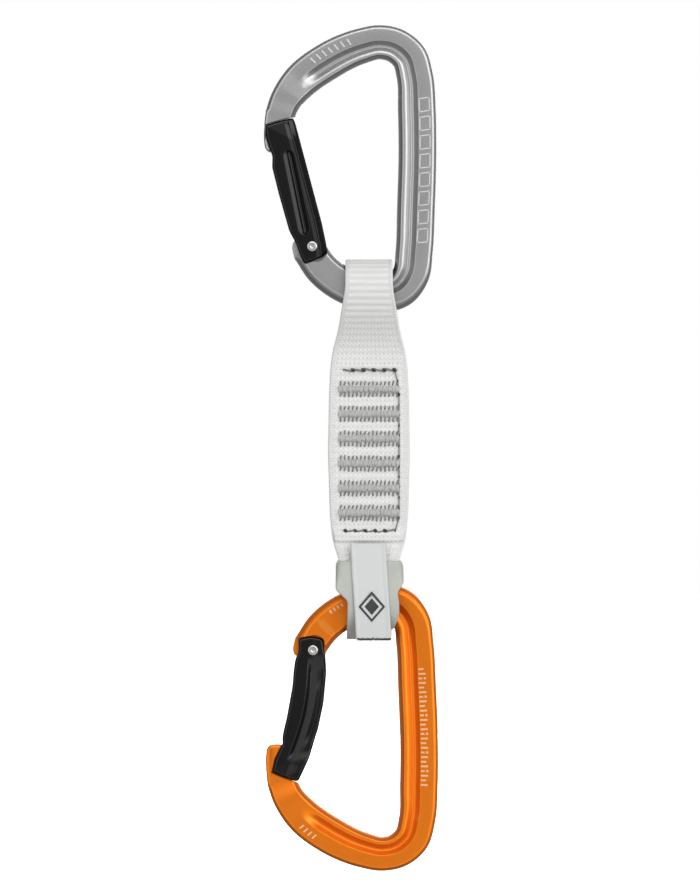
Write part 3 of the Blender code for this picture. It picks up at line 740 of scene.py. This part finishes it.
def gate_shape(gate, relief, rows=300, columns=96):
    """The gate's body: its outline filled with a grid, with rounded rims and a shaped face."""
    outline = arc(*gate["arc"], 12) + gate["inner"] + gate["base"] + gate["outer"][:-1]
    outline = rounded(outline, 0.9, 6)
    corners = arc(*gate["arc"], 2) + [gate["inner"][-1], gate["base"][-1]]
    picks = [int(np.argmin(np.linalg.norm(outline - corner, axis=1))) for corner in np.array(corners)]
    outline = np.roll(outline, -picks[0], axis=0)
    picks = [(p - picks[0]) % len(outline) for p in picks] + [len(outline)]
    loop = np.vstack([outline, outline[:1]])
    top, right, bottom, left = (
        resample(loop[first:last + 1], count, bunch)
        for first, last, (count, bunch) in zip(picks, picks[1:], 2 * ((columns, 0.55), (rows, 0.35))))
    grid = patch(left, right[::-1], bottom[::-1], top)
    depth = np.minimum(edge_distance(grid, outline), RIM)
    drop = RIM - np.sqrt(np.maximum(RIM**2 - (RIM - depth)**2, 0.0))
    half = GATE_HALF - drop - relief(grid)
    sides = [np.stack([grid[..., 0], y, grid[..., 1]], axis=-1).reshape(-1, 3) for y in (-half, half)]
    faces = grid_faces(rows, columns) + grid_faces(rows, columns, first=rows * columns)
    index = np.arange(rows * columns).reshape(rows, columns)
    rim = np.concatenate([index[0], index[1:, -1], index[-1, -2::-1], index[-2:0:-1, 0]]).tolist()
    for a, b in zip(rim, rim[1:] + rim[:1]):
        faces.append((a, b, b + rows * columns, a + rows * columns))
    return np.vstack(sides), faces


def inner_distance(grid, gate):
    """Distance of each point from the gate's inner edge."""
    ordered = sorted((z, x) for x, z in gate["inner"])
    edge = np.interp(grid[..., 1], [z for z, _ in ordered], [x for _, x in ordered])
    return 0.967 * (edge - grid[..., 0])


def facet_depth(grid, facet):
    """A flat that slants off the gate's tip."""
    rise = grid[..., 1] - facet["start"] + facet["slant"] * (grid[..., 0] - facet["middle"])
    return facet["depth"] * np.clip(rise / FACET_RUN, 0.0, 1.0)


def straight_relief(grid):
    """A lopsided channel down the face, a strip that leans inwards and a steep bevel inside it."""
    inside = inner_distance(grid, STRAIGHT_GATE)
    start, end = CHANNEL_ENDS
    length = np.linalg.norm(end - start)
    along = (end - start) / length
    travel = (grid - start) @ along
    beyond = np.maximum(np.maximum(-travel, travel - length), 0.0)
    side = -(grid[..., 0] - start[0]) * along[1] + (grid[..., 1] - start[1]) * along[0]
    wide = np.sqrt(np.maximum(CHANNEL_HALF**2 - np.minimum(beyond, CHANNEL_HALF)**2, 1e-6))
    place = np.where(beyond < CHANNEL_HALF, side / wide, 2.0)
    depth = np.interp(place, CHANNEL_PLACES, CHANNEL_DEPTHS)
    channel = depth * wide / CHANNEL_HALF * (np.abs(place) < 1.0)
    strip = STRIP["depth"] * np.clip((STRIP["start"] - inside) / STRIP["width"], 0.0, 1.0)
    fall = np.clip((BEVEL["start"] - inside) / BEVEL["width"], 0.0, 1.0)
    facet = facet_depth(grid, STRAIGHT_FACET)
    return np.maximum(channel, strip) + facet * (1.0 - fall) + BEVEL["depth"] * fall


def bent_middle(z):
    """x of the crest that runs down the bent gate."""
    nearby = np.linspace(-5.0, 5.0, 11)
    return np.mean([np.interp(z + shift, CREST_HEIGHTS, CREST_PLACES) for shift in nearby], axis=0)


def bent_relief(grid):
    """A flat outer face, a steep step beside it, a leaning ridge and, between the slots, a steep edge."""
    side, height = grid[..., 0] - bent_middle(grid[..., 1]), grid[..., 1]
    fade = ramp(height, 0.5, 7.5) * (1.0 - ramp(height, 32.0, 37.5))
    step = STEP_DEPTH * fade * np.interp(side, STEP_PLACES, STEP_SHARES)
    ridge = (0.5 + 0.5 * fade) * np.interp(side, RIDGE_PLACES, RIDGE_DEPTHS)
    solid = ramp(height, 9.0, 15.0) * (1.0 - ramp(height, 27.0, 32.0))
    fall = np.clip((side - EDGE_FALL["start"]) / EDGE_FALL["width"], 0.0, 1.0)
    return step + ridge + EDGE_FALL["depth"] * solid * fall + facet_depth(grid, BENT_FACET)


def at_hinge(matrix):
    """A carabiner's place, moved to its rivet."""
    return matrix @ Matrix.Translation((HINGE[0], 0.0, HINGE[1]))


def build_gate(name, gate, relief, finish, matrix, body):
    """A gate with its slots for the nose and the tongue, the rivet's hole and the spring's bore."""
    item = object_from(name, *gate_shape(gate, relief), finish)
    heights = np.linspace(TIP_ZONE, TIP_ZONE + 18.0, 7)
    wall = [(edge_at(gate["inner"], z) - INNER_WALL, z) for z in heights]
    floor = arc(0, 0, TIP_SLOT_RADIUS, 125.0, 92.0, 16)
    floor = [point for point in floor if point[0] < edge_at(gate["inner"], point[1]) - INNER_WALL - 0.3]
    sides = [point for point in wall if point[1] > floor[-1][1] + 0.5]
    cut(item, prism(floor + sides + [(-22.0, 44.0)], -SLOT_HALF, SLOT_HALF))
    cut(item, prism(arc(0, 0, BASE_SLOT_RADIUS, 0, 354, 60), -SLOT_HALF, SLOT_HALF))
    cut(item, prism(arc(0, 0, RIVET_BORE, 0, 348, 30), -THROUGH, THROUGH))
    angle = radians(gate["bore_angle"])
    cut(item, turned([(3.0, SPRING_BORE), (SPRING_BORE_END, SPRING_BORE)], (cos(angle), sin(angle))))
    tidy(item, 50.0)
    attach(place(item, at_hinge(matrix)), body)
    return item


def rivet_shape():
    """A headed pin along Y whose heads are domed, with a punched dimple in the middle."""
    seat = RIVET_SEAT
    head = [(seat, 1.72), (seat + 0.12, 1.76), (seat + 0.3, 1.72), (seat + 0.48, 1.5), (seat + 0.6, 1.2),
            (seat + 0.64, 0.9), (seat + 0.58, 0.66), (seat + 0.36, 0.42), (seat + 0.26, 0.18)]
    profile = [(-y, r) for y, r in reversed(head)] + [(-seat + 0.02, 1.3), (seat - 0.02, 1.3)] + head
    rings = [[(r * cos(t), y, r * sin(t)) for t in np.linspace(0, 2 * pi, 40, endpoint=False)]
             for y, r in profile]
    return loft(rings)


def build_rivet(name, finish, matrix, body):
    item = object_from(name, *rivet_shape(), finish, 50.0)
    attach(place(item, at_hinge(matrix)), body)
    return item


# ================================================================ marks on the frames

def band_points(distance, outwards):
    """A place on the bar's face, by distance along the bar and offset from its outer edge."""
    line, heading, along = bar_line()
    x, z, width = (np.interp(distance, along, line[:, k]) for k in range(3))
    hx, hz = (np.interp(distance, along, heading[:, k]) for k in range(2))
    size = np.hypot(hx, hz)
    offset = width / 2 - outwards
    return x - hz / size * offset, z + hx / size * offset


def etched(name, outlines, matrix, body, finish):
    """Shallow marks on the band that faces the front: each outline is (distance, outwards) pairs."""
    upper = body == "anchor_side"
    layer = [(y - FRAME_HALF) * (1 if upper else -1) for y in MARK_LAYER]
    shapes = [prism([band_points(*place) for place in outline], *layer) for outline in outlines]
    item = object_from(name, *joined(shapes), finish, 10.0)
    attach(place(item, matrix), body)


def bar_mark(distance, low, high, width, slant=0.0):
    """A straight mark across the band, leaning by slant."""
    half = width / 2
    return [(distance - half, low), (distance + half, low),
            (distance + half + slant, high), (distance - half + slant, high)]


def lozenge(distance, low, high, length, line):
    """An outlined parallelogram, made of four thin marks."""
    lean = 0.5
    start, end = distance - length / 2, distance + length / 2
    return [bar_mark(start, low, high, line, lean), bar_mark(end, low, high, line, lean),
            [(start, low), (end, low), (end, low + line), (start, low + line)],
            [(start + lean, high - line), (end + lean, high - line),
             (end + lean, high), (start + lean, high)]]


def build_marks(finish, orange_finish):
    """Plain marks in place of words: lozenges and bars on the silver frame, scales on the orange one."""
    spine = [mark for k in range(8) for mark in lozenge(69.8 + 6.05 * k, 1.9, 5.5, 4.3, 0.34)]
    crown = [bar_mark(20.6 + 2.1 * k, 2.4, 4.6, 0.5, 0.5) for k in range(7)]
    etched("upper_spine_marks", spine, UPPER_PLACE, "anchor_side", finish)
    etched("upper_crown_marks", crown, UPPER_PLACE, "anchor_side", finish)
    scale, scale_start, scale_pitch = [], 72.0, 1.5
    for k in range(26):
        distance = scale_start + scale_pitch * k
        low = (3.3, 3.9, 3.3, 4.4)[k % 4]
        scale.append(bar_mark(distance, low, 5.6, 0.55))
        if k % 4 == 3:
            scale.append(bar_mark(distance, 3.2, 3.9, 0.7))
    etched("lower_spine_scale", scale, LOWER_PLACE, "rope_side", orange_finish)
    dashes = [bar_mark(15.6 + 1.6 * k, 2.2, 4.0, 0.45, 0.4) for k in range(4)]
    dots = [bar_mark(150.0 + 1.3 * k, 2.8, 4.0, 0.6) for k in range(4)]
    etched("lower_end_marks", dashes + dots, LOWER_PLACE, "rope_side", orange_finish)


# ================================================================ sling

def stack_half():
    """From the sling's middle to the middle of an outer ply, where it is sewn."""
    return INNER_PLY / 2 + PLY_GAP + PLY / 2


def eye_curve(eye, offset, sign, steps=24, turns=60):
    """Half-loop of an eye as (y, z) from the front ply round to the back ply."""
    radius = eye["radius"] + PLY / 2 + offset
    stack = stack_half() + offset
    corners = [(stack, EYE_RUN), (stack, EYE_FLANK[0]), (radius, EYE_FLANK[1]), (radius, 0.0)]
    flank = []
    for t in np.arange(steps) / steps:
        weights = ((1 - t)**3, 3 * t * (1 - t)**2, 3 * t**2 * (1 - t), t**3)
        flank.append((sum(w * c[0] for w, c in zip(weights, corners)),
                      sum(w * c[1] for w, c in zip(weights, corners))))
    crown = [(radius * cos(a), -radius * sin(a)) for a in np.linspace(0, pi, turns + 1)]
    half = [(-y, -z) for y, z in flank + crown]
    return [(y, eye["z"] + sign * z) for y, z in half + [(-y, z) for y, z in reversed(half[:steps])]]


def width_at(stations, z, blur=2.2):
    """Width at a height, with the stations' corners smoothed over a few millimetres."""
    ordered = sorted(stations)
    heights, widths = [s[0] for s in ordered], [s[1] for s in ordered]
    nearby = np.linspace(-blur, blur, 9)
    return float(np.mean([np.interp(z + shift, heights, widths) for shift in nearby]))


def sling_line(spacing):
    """The middle of the ply as an even row of points (y, z) round the loop, and their normals."""
    upper, lower = eye_curve(UPPER_EYE, 0.0, 1), eye_curve(LOWER_EYE, 0.0, -1)[::-1]
    loop = np.array(upper + lower + upper[:1])
    length = np.sum(np.linalg.norm(np.diff(loop, axis=0), axis=1))
    line = resample(loop, int(length / spacing) + 1)[:-1]
    ahead = np.roll(line, -1, axis=0) - np.roll(line, 1, axis=0)
    ahead /= np.linalg.norm(ahead, axis=1)[:, None]
    return line, np.stack([-ahead[:, 1], ahead[:, 0]], axis=1), length


def ply_relief(across, along, z, front):
    """Heights of the weave and of the fold under the label over the ply's face, in millimetres."""
    column, pick, rib_pick = 0.78, 0.72, 1.05
    plain = np.cos(pi * along / pick) * np.cos(pi * across / column)
    rib = 0.5 + 0.5 * np.cos(pi * along / rib_pick)
    gathered = 1.0 - ramp(-z, 78.0, 92.0)
    weave = 0.06 * plain + 0.02 * np.cos(pi * across / column)
    ribs = 0.10 * rib + 0.01 * plain
    height = gathered * ribs + (1.0 - gathered) * (weave + 0.05 * rib)
    fold = 0.8 * ramp(z, -157.3, -156.3) * (1.0 - ramp(z, -154.6, -152.4)) * front
    return height, fold


def build_webbing(finish):
    """The sling: one ply of woven tape in a closed loop, with its weave as real relief."""
    line, normal, length = sling_line(WEAVE_STEP)
    points, across_all, along_all, painted_shade_all = [], [], [], []
    travelled = np.arange(len(line)) * length / len(line)
    for (y, z), (ny, nz), along in zip(line, normal, travelled):
        half = width_at(SLING_WIDTHS, z) / 2
        flat = half - PLY / 2 * 0.8
        s = np.linspace(-flat, flat, TAPE_COLUMNS)
        tape = s / flat * TAPE_HALF
        front = 1.0 if y < -0.6 else 0.0
        height, fold = ply_relief(tape, along, z, front)
        band = ramp(np.abs(tape), 11.2, 12.6)
        smooth_band = 0.05 * np.cos(2 * pi * along / 0.9)
        height = (1 - band) * height + band * smooth_band
        outer = PLY / 2 - 0.16 + height + fold
        turn = np.linspace(0, pi, EDGE_STEPS + 2)[1:-1]
        side_x = flat + (half - flat) * np.sin(turn)
        side_v = PLY / 2 * 0.9 * np.cos(turn)
        inner_s = np.linspace(flat, -flat, BACK_COLUMNS)
        xs = np.concatenate([s, side_x, inner_s, -side_x])
        vs = np.concatenate([outer, side_v, np.full(BACK_COLUMNS, -PLY / 2 + 0.04), -side_v])
        for x, v in zip(xs, vs):
            points.append((SLING_X + x, y + ny * v, z + nz * v))
        rim = np.full(EDGE_STEPS, 0.5)
        back = inner_s / flat * TAPE_HALF
        across_all.append(np.concatenate([tape, TAPE_HALF + rim, back, -TAPE_HALF - rim]))
        along_all.append(np.full(len(xs), along))
        # Painted shade for the colour: relief of the front face, and fixed lower levels for the rims and
        # the back face.
        painted_shade_all.append(np.concatenate([(height + 0.10) / 0.26, rim, np.full(BACK_COLUMNS, 0.4), rim]))
    faces = grid_faces(len(line), len(xs), True, True)
    item = object_from("sling_webbing_woven", points, faces, finish, 80.0)
    add_cloth_map(item, *(np.concatenate(values) for values in (across_all, along_all, painted_shade_all)))
    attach(item, "sling")
    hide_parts("sling_webbing")


def add_cloth_map(item, across, along, relief=None):
    """Store places on the cloth, in millimetres, as a UV map, and the relief, which the webbing's colour
    uses for painted shade, as an attribute.
    """
    mesh = item.data
    corners = np.zeros(len(mesh.loops), int)
    mesh.loops.foreach_get("vertex_index", corners)
    layer = mesh.uv_layers.new(name="cloth")
    places = np.stack([across[corners], along[corners]], axis=1)
    layer.data.foreach_set("uv", places.astype(np.float32).ravel())
    if relief is not None:
        attribute = mesh.attributes.new("relief", "FLOAT", "POINT")
        attribute.data.foreach_set("value", np.clip(relief, 0, 1).astype(np.float32))


def tube(path, radius, sides=6):
    """A closed tube along a path of points; radius may vary along it."""
    path = np.asarray(path, float)
    radius = np.broadcast_to(radius, (len(path),))
    ahead = headings(path)
    side = np.cross(ahead, (0.0, 1.0, 0.0))
    side /= np.maximum(np.linalg.norm(side, axis=1), 1e-6)[:, None]
    up = np.cross(side, ahead)
    turns = np.linspace(0, 2 * pi, sides, endpoint=False)
    rings = [[p + r * (cos(t) * a + sin(t) * b) for t in turns]
             for p, r, a, b in zip(path, radius, side, up)]
    return loft(rings)


def stitch(start, end, face, side, radius, lift):
    """One stitch over a face: it rises out of the cloth, lies on it and dives back in."""
    (x0, z0), (x1, z1) = start, end
    rise = ((0.0, -0.55), (0.06, 0.1), (0.18, 0.75), (0.5, 1.0), (0.82, 0.75), (0.94, 0.1), (1.0, -0.55))
    path = []
    for t, height in rise:
        path.append((x0 + (x1 - x0) * t, side * (face + height * lift), z0 + (z1 - z0) * t))
    return tube(path, radius)


def add_finish(item, finish, shapes):
    """Give the faces that follow the given shapes a second finish."""
    first = sum(len(faces) for _, faces in shapes)
    item.data.materials.append(finish)
    slots = [int(k >= first) for k in range(len(item.data.polygons))]
    item.data.polygons.foreach_set("material_index", slots)


def build_tacks(finish, tooth_hole_shade_finish):
    """Bar tacks: a dense core of thread with longer teeth above and below, on both faces."""
    face = stack_half() + PLY / 2 - 0.02
    random = np.random.default_rng(11)
    width, tall = TACK_SIZE
    pitch = width / TACK_TEETH
    for number in range(1, TACK_COUNT + 1):
        z = TACK_FIRST - (number - 1) * TACK_PITCH
        core, teeth = [], []
        for side in (-1, 1):
            for k in range(TACK_TEETH):
                x = SLING_X - width / 2 + pitch * (k + 0.5)
                lean = 0.10 + random.normal(0, 0.08)
                top = z + tall / 2 + random.normal(0, 0.12)
                bottom = z - tall / 2 + random.normal(0, 0.12)
                for low, high in ((bottom, z - 1.30), (z + 1.45, top)):
                    teeth.append(stitch((x - lean, low), (x + lean, high), face, side, *TOOTH_THREAD))
                for part in (-0.42, 0.0, 0.42):
                    shift = part + random.normal(0, 0.05)
                    reach = 1.08 + random.normal(0, 0.15)
                    tilt = random.normal(0, 0.12)
                    core.append(stitch((x + shift - tilt, z - reach), (x + shift + tilt, z + reach),
                                       face, side, *CORE_THREAD))
        item = object_from(f"bar_tack_{number}_threads", *joined(core + teeth), finish, 80.0)
        # Painted shade: the teeth take a darker copy of the tack's grey thread, for the shade where they
        # dive into their needle holes.
        add_finish(item, tooth_hole_shade_finish, core)
        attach(item, "sling")
        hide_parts(f"bar_tack_{number}")


def seam_line():
    """The seam's run, down one side of the tacks and across above and below them."""
    half, top, bottom = SEAM_BOX
    side = half - 0.75
    return [(SLING_X - 8.6, top), (SLING_X + 8.3, top), (SLING_X + side - 0.45, top - SEAM_CORNER),
            (SLING_X + side, top - 8.0), (SLING_X + side, bottom + SEAM_CORNER + 0.6),
            (SLING_X + 8.5, bottom), (SLING_X - 7.6, bottom)]


def build_seam(name, node, side, thread_finish, needle_hole_shade_finish):
    """A lockstitch seam: thread from knot to knot, each knot sunk into its needle hole and coloured near
    black as painted shade of the hole.
    """
    face = stack_half() + PLY / 2
    line = seam_line()
    random = np.random.default_rng(5)
    threads, knots = [], []
    for (x0, z0), (x1, z1) in zip(line, line[1:]):
        length = float(np.hypot(x1 - x0, z1 - z0))
        level = abs(z1 - z0) < 0.1
        count = max(1, round(length / SEAM_PITCH))
        ends = [(x0 + (x1 - x0) * k / count, z0 + (z1 - z0) * k / count) for k in range(count + 1)]
        look = SEAM_LEVEL if level else SEAM_UPRIGHT
        rise, (reach_x, reach_z) = look["rise"], look["reach"]
        for (ax, az), (bx, bz) in zip(ends, ends[1:]):
            sag = random.normal(0, 0.15)
            threads.append(stitch((ax + 0.2 * level, az + sag + rise), (bx, bz + sag - rise),
                                  face, side, look["thread"], 0.30))
            size = look["knot"] + random.normal(0, 0.05)
            path = [(bx + reach_x * t, side * (face + 0.22 - 0.25 * t * t), bz + reach_z * t)
                    for t in KNOT_PLACES]
            knots.append(tube(path, size * KNOT_SIZES, 8))
    item = object_from(name, *joined(threads + knots), thread_finish, 80.0)
    # Painted shade: the knots take the near-black finish, standing for the shade in the needle holes.
    add_finish(item, needle_hole_shade_finish, threads)
    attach(item, "sling")
    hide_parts(node)


# ================================================================ keeper and label

def filled_eye(offset, low_edge, high_edge, top, grow=0.0, blur=2.2, corner_size=1.3):
    """A solid lower eye: its side outline as wide as its height says, cut off at a height."""
    flank = [(abs(y), z) for y, z in eye_curve(LOWER_EYE, offset, -1)]
    flank = flank[:len(flank) // 2 + 1]
    ordered = sorted((z, y) for y, z in flank)
    shoulder = float(np.interp(top, [z for z, _ in ordered], [y for _, y in ordered]))
    rings = []
    for y, z in [(shoulder, top)] + [point for point in flank if point[1] < top - 0.05]:
        depth = max(y, 0.4)
        low, high = width_at(low_edge, z, blur) - grow, width_at(high_edge, z, blur) + grow
        corner = [(low, -depth), (high, -depth), (high, depth), (low, depth)]
        size = corner_size * (0.2 + 0.8 * ramp(z, -171.5, -166.5))
        ring = rounded(corner, min(size, depth * 0.9), 5)
        rings.append([(x, v, z) for x, v in ring])
    return loft(rings)


def build_keeper(finish):
    """A thin shell round the lower eye, open for the bar, with two flaps beside the spine."""
    inner = PLY / 2 + KEEPER_GAP
    shape = filled_eye(inner + KEEPER_WALL, KEEPER_LEFT, KEEPER_RIGHT, KEEPER_TOP,
                       blur=0.5, corner_size=KEEPER_CORNER)
    keeper = object_from("keeper_moulded", *shape, finish)
    sling = [[(z, SLING_X + sign * width / 2) for z, width in SLING_WIDTHS] for sign in (-1, 1)]
    cut(keeper, filled_eye(inner, *sling, KEEPER_TOP + 3.0, grow=KEEPER_GAP))
    middle, wide, beyond = LOWER_EYE["z"], 20.0, 30.0
    radius = LOWER_EYE["radius"] + PLY + KEEPER_GAP
    hole = [(radius * cos(t), middle + radius * sin(t)) for t in np.linspace(0, 2 * pi, 72, endpoint=False)]
    reach, fall = wide * cos(KEEPER_FLAP_TURN), wide * sin(KEEPER_FLAP_TURN)
    below = [(0.0, middle), (reach, middle - fall), (wide, middle - beyond),
             (-wide, middle - beyond), (-reach, middle - fall)]
    for outline, start in ((hole, -beyond), (below, KEEPER_WRAP_END)):
        cut(keeper, loft([[(x, y, z) for y, z in outline] for x in (start, beyond)]))
    remesh = keeper.modifiers.new("even", "REMESH")
    remesh.mode = "VOXEL"
    remesh.voxel_size = KEEPER_VOXEL * MM
    relax = keeper.modifiers.new("relax", "SMOOTH")
    relax.factor = 0.6
    relax.iterations = 5
    bake(keeper)
    tidy(keeper, 80.0)
    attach(keeper, "sling")
    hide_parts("keeper")


def label_curve():
    """The label's run as (y, z), down over the keeper's front and then free."""
    lift = PLY / 2 + KEEPER_GAP + KEEPER_WALL + GAP
    flank = [(y, z) for y, z in eye_curve(LOWER_EYE, lift, -1) if z >= LOWER_EYE["z"] and y < 0]
    start = float(np.interp(-LABEL_TOP, [-z for _, z in flank], [y for y, _ in flank]))
    curve = [(start, LABEL_TOP)] + [(y, z) for y, z in flank if z < LABEL_TOP]
    face = min(y for y, z in curve)
    curve += [(face, z) for z in np.linspace(LOWER_EYE["z"] - 1.0, LABEL_BOTTOM, 16)]
    return resample(curve, 130)


def label_middle(z):
    """x of the label's middle, which leans a little on its way down."""
    return LABEL_X - LABEL_LEAN / 2 + LABEL_LEAN * (LABEL_TOP - z) / (LABEL_TOP - LABEL_BOTTOM)


def build_label(finish):
    """The ribbon label, thin at its very edges and cupped a little."""
    curve = label_curve()
    steps = distances(curve)
    half = LABEL_WIDTH / 2
    s = np.linspace(-half, half, LABEL_COLUMNS)
    thick = LABEL_THICKNESS * (0.62 + 0.38 * ramp(np.abs(s), half - 1.3, half - 0.9))
    thick = thick * (1.0 - 0.45 * ramp(np.abs(s), half - 0.35, half))
    cup = 0.10 * (s / half)**2
    places = np.concatenate([s, s[::-1]])
    shifts = np.concatenate([-thick, np.full(LABEL_COLUMNS, -0.05)]) + np.concatenate([cup, cup[::-1]])
    points, across, along = [], [], []
    for (y, z), (_, az), travelled in zip(curve, headings(curve), steps):
        for x, shift in zip(places, shifts):
            points.append((label_middle(z) + x, y - az * shift, z))
            across.append(x)
            along.append(travelled)
    item = object_from("label_ribbon", points, loft_faces(len(curve), len(places)), finish, 60.0)
    add_cloth_map(item, np.array(across), np.array(along))
    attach(item, "sling")
    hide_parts("woven_label")


def diamond(size):
    """A diamond's corners about the middle of the label's mark."""
    middle = label_middle(GLYPH_Z)
    turns = np.radians((0, 90, 180, 270))
    return [(middle + size * 0.86 * cos(t), GLYPH_Z + size * sin(t)) for t in turns]


def build_glyph(dark):
    """The label's dark threads: a diamond ring round a smaller diamond, and the stitches of its hem."""
    face = min(y for y, _ in label_curve()) - LABEL_THICKNESS * 0.62 - 0.02
    top = face - GLYPH_RAISE
    rings = [[(ox, face, oz), (ox, top, oz), (ix, top, iz), (ix, face, iz)]
             for (ox, oz), (ix, iz) in zip(diamond(GLYPH_SIZE), diamond(GLYPH_SIZE - 1.0))]
    shapes = [loft(rings, closed=True), prism(diamond(GLYPH_SIZE - 2.3), top, face)]
    bottom = LABEL_BOTTOM + 0.5
    low = label_middle(bottom) - LABEL_WIDTH / 2 + 0.3
    high = label_middle(bottom) + LABEL_WIDTH / 2 - 0.3
    random = np.random.default_rng(3)
    stops = np.linspace(low, high, 9)
    for start, end in zip(stops, stops[1:]):
        sag, gap = random.normal(0, 0.12), abs(random.normal(0, 0.12))
        shapes.append(stitch((start + gap, bottom + sag), (end - 0.05, bottom - sag),
                             -face, -1, 0.32, 0.22))
    item = object_from("label_mark", *joined(shapes), dark, 20.0)
    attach(item, "sling")


# ================================================================ studio

def build_floor(finish):
    """A wide floor that the camera sees and the object does not mirror."""
    size = FLOOR_HALF
    points = [(x, y, FLOOR_Z) for x, y in ((-size, -size), (size, -size), (size, size), (-size, size))]
    item = object_from("studio_floor", points, [(0, 1, 2, 3)], finish)
    item.visible_diffuse = item.visible_glossy = False


def softbox(name, location, size, power):
    """A soft rectangular light, turned towards the middle of the object."""
    light = bpy.data.lights.new(name, "AREA")
    light.shape = "RECTANGLE"
    light.size, light.size_y = size
    light.energy = power
    item = bpy.data.objects.new(name, light)
    item.location = location
    direction = Vector(LIGHT_TARGET) - Vector(location)
    item.rotation_euler = direction.to_track_quat("-Z", "Y").to_euler()
    item.visible_camera = False
    bpy.context.scene.collection.objects.link(item)


def build_world():
    """A pale studio: a bright ring round the camera's side, dark sides and a white backdrop.

    The brightness runs from front to back through WORLD_STOPS, times a gentle slope upwards
    and one to the right.
    """
    world = bpy.data.worlds.new("studio")
    bpy.context.scene.world = world
    world.use_nodes = True
    sky = Nodes(world.node_tree)
    split = sky.add("ShaderNodeSeparateXYZ")
    sky.link(sky.add("ShaderNodeTexCoord").outputs["Generated"], split.inputs["Vector"])
    depth, *slopes = (sky.between(split.outputs[axis], -1.0, 1.0, low, high)
                      for axis, low, high in WORLD_AXES)
    strength = sky.colours(depth, *((position, (value,) * 3) for position, value in WORLD_STOPS))
    for slope in slopes:
        strength = sky.times(strength, slope)
    mix = sky.add("ShaderNodeMix", data_type="FLOAT")
    sky.link(sky.add("ShaderNodeLightPath").outputs["Is Camera Ray"], mix.inputs["Factor"])
    sky.link(strength, mix.inputs["A"])
    mix.inputs["B"].default_value = 1.0
    background = world.node_tree.nodes["Background"]
    background.inputs["Color"].default_value = (1.0, 1.0, 1.0, 1.0)
    sky.link(mix.outputs["Result"], background.inputs["Strength"])


def build_camera():
    """A long lens, square on to the front."""
    data = bpy.data.cameras.new("camera")
    data.sensor_width = 36.0
    data.lens = data.sensor_width * CAMERA_DISTANCE / VIEW_SIZE
    data.clip_end = 100.0
    camera = bpy.data.objects.new("camera", data)
    camera.location = (VIEW_CENTRE[0], -CAMERA_DISTANCE, VIEW_CENTRE[1])
    camera.rotation_euler = (pi / 2, 0.0, 0.0)
    bpy.context.scene.collection.objects.link(camera)
    bpy.context.scene.camera = camera


# ================================================================ assembly

def finishes():
    """Every finish by its short name."""
    return dict(
        # The second colour of each metal is its edge colour: part wear, part painted highlight.
        bare=metal("bare_aluminium_tumbled", (0.44, 0.44, 0.445), (0.66, 0.66, 0.67), 0.36, 1.0),
        orange=metal("orange_anodised_satin", (0.88, 0.21, 0.008), (0.95, 0.32, 0.04), 0.35, 0.75),
        gate=metal("black_anodised_gloss", (0.0015, 0.0015, 0.0015), (0.008, 0.008, 0.009),
                   0.16, 0.0, 0.002, Specular_IOR_Level=0.32),
        steel=metal("bright_steel_turned", (0.46, 0.45, 0.44), (0.70, 0.69, 0.67), 0.22, 1.0, 0.004),
        mark=metal("etched_light", (0.56, 0.56, 0.56), (0.60, 0.60, 0.60), 0.6, 0.3, 0.02),
        orange_mark=metal("etched_orange", (0.78, 0.42, 0.20), (0.80, 0.50, 0.30), 0.6, 0.3, 0.02),
        webbing=webbing_material("woven_webbing", (0.79, 0.795, 0.78), (0.56, 0.565, 0.555)),
        ply=thread_material("inner_ply_weave", (0.74, 0.75, 0.73), (0.5, 0.51, 0.5)),
        tack=thread_material("grey_tack_thread", (0.56, 0.565, 0.56), (0.36, 0.365, 0.36)),
        # A darker grey thread: the seam's own thread, and on the tacks' teeth painted shade of their needle
        # holes.
        dark_thread_and_tooth_shade=thread_material("grey_thread_and_tack_tooth_shade", (0.26, 0.265, 0.26), (0.10, 0.105, 0.10)),
        # Near-black thread for the label's mark, also used on the seam's knots as painted shade of the
        # needle holes.
        seam=thread_material("dark_thread_and_needle_hole_shade", (0.05, 0.05, 0.05), (0.015, 0.015, 0.015)),
        rubber=rubber_material(), label=ribbon_material(), floor=floor_material())


def refinish(node, finish):
    """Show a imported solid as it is, in another finish."""
    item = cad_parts[node]
    item.data.materials.clear()
    item.data.materials.append(finish)


def build_carabiner(prefix, gate, relief, finish, looks, matrix, body):
    """One carabiner: frame, gate and rivet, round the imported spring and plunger."""
    item = build_frame(prefix + "_frame_forged", gate, looks[finish], matrix, body)
    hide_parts(prefix + "_frame")
    item = build_gate(prefix + "_gate_milled", gate, relief, looks["gate"], matrix, prefix + "_gate")
    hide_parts(prefix + "_gate")
    item = build_rivet(prefix + "_gate_rivet_peened", looks["steel"], matrix, body)
    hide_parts(prefix + "_gate_rivet")
    refinish(prefix + "_gate_spring", looks["steel"])
    refinish(prefix + "_gate_plunger", looks["steel"])


def main():
    build_camera()
    build_world()
    looks = finishes()
    build_floor(looks["floor"])
    for box in SOFTBOXES:
        softbox(*box)
    build_carabiner("upper", STRAIGHT_GATE, straight_relief, "bare", looks, UPPER_PLACE, "anchor_side")
    build_carabiner("lower", BENT_GATE, bent_relief, "orange", looks, LOWER_PLACE, "rope_side")
    build_marks(looks["mark"], looks["orange_mark"])
    build_webbing(looks["webbing"])
    refinish("sling_inner_ply", looks["ply"])
    build_tacks(looks["tack"], looks["dark_thread_and_tooth_shade"])
    for node, side in (("edge_stitch_front", -1), ("edge_stitch_back", 1)):
        build_seam(node + "_threads", node, side, looks["dark_thread_and_tooth_shade"], looks["seam"])
    build_keeper(looks["rubber"])
    build_label(looks["label"])
    build_glyph(looks["seam"])
    bpy.context.scene.view_settings.view_transform = "Standard"


main()
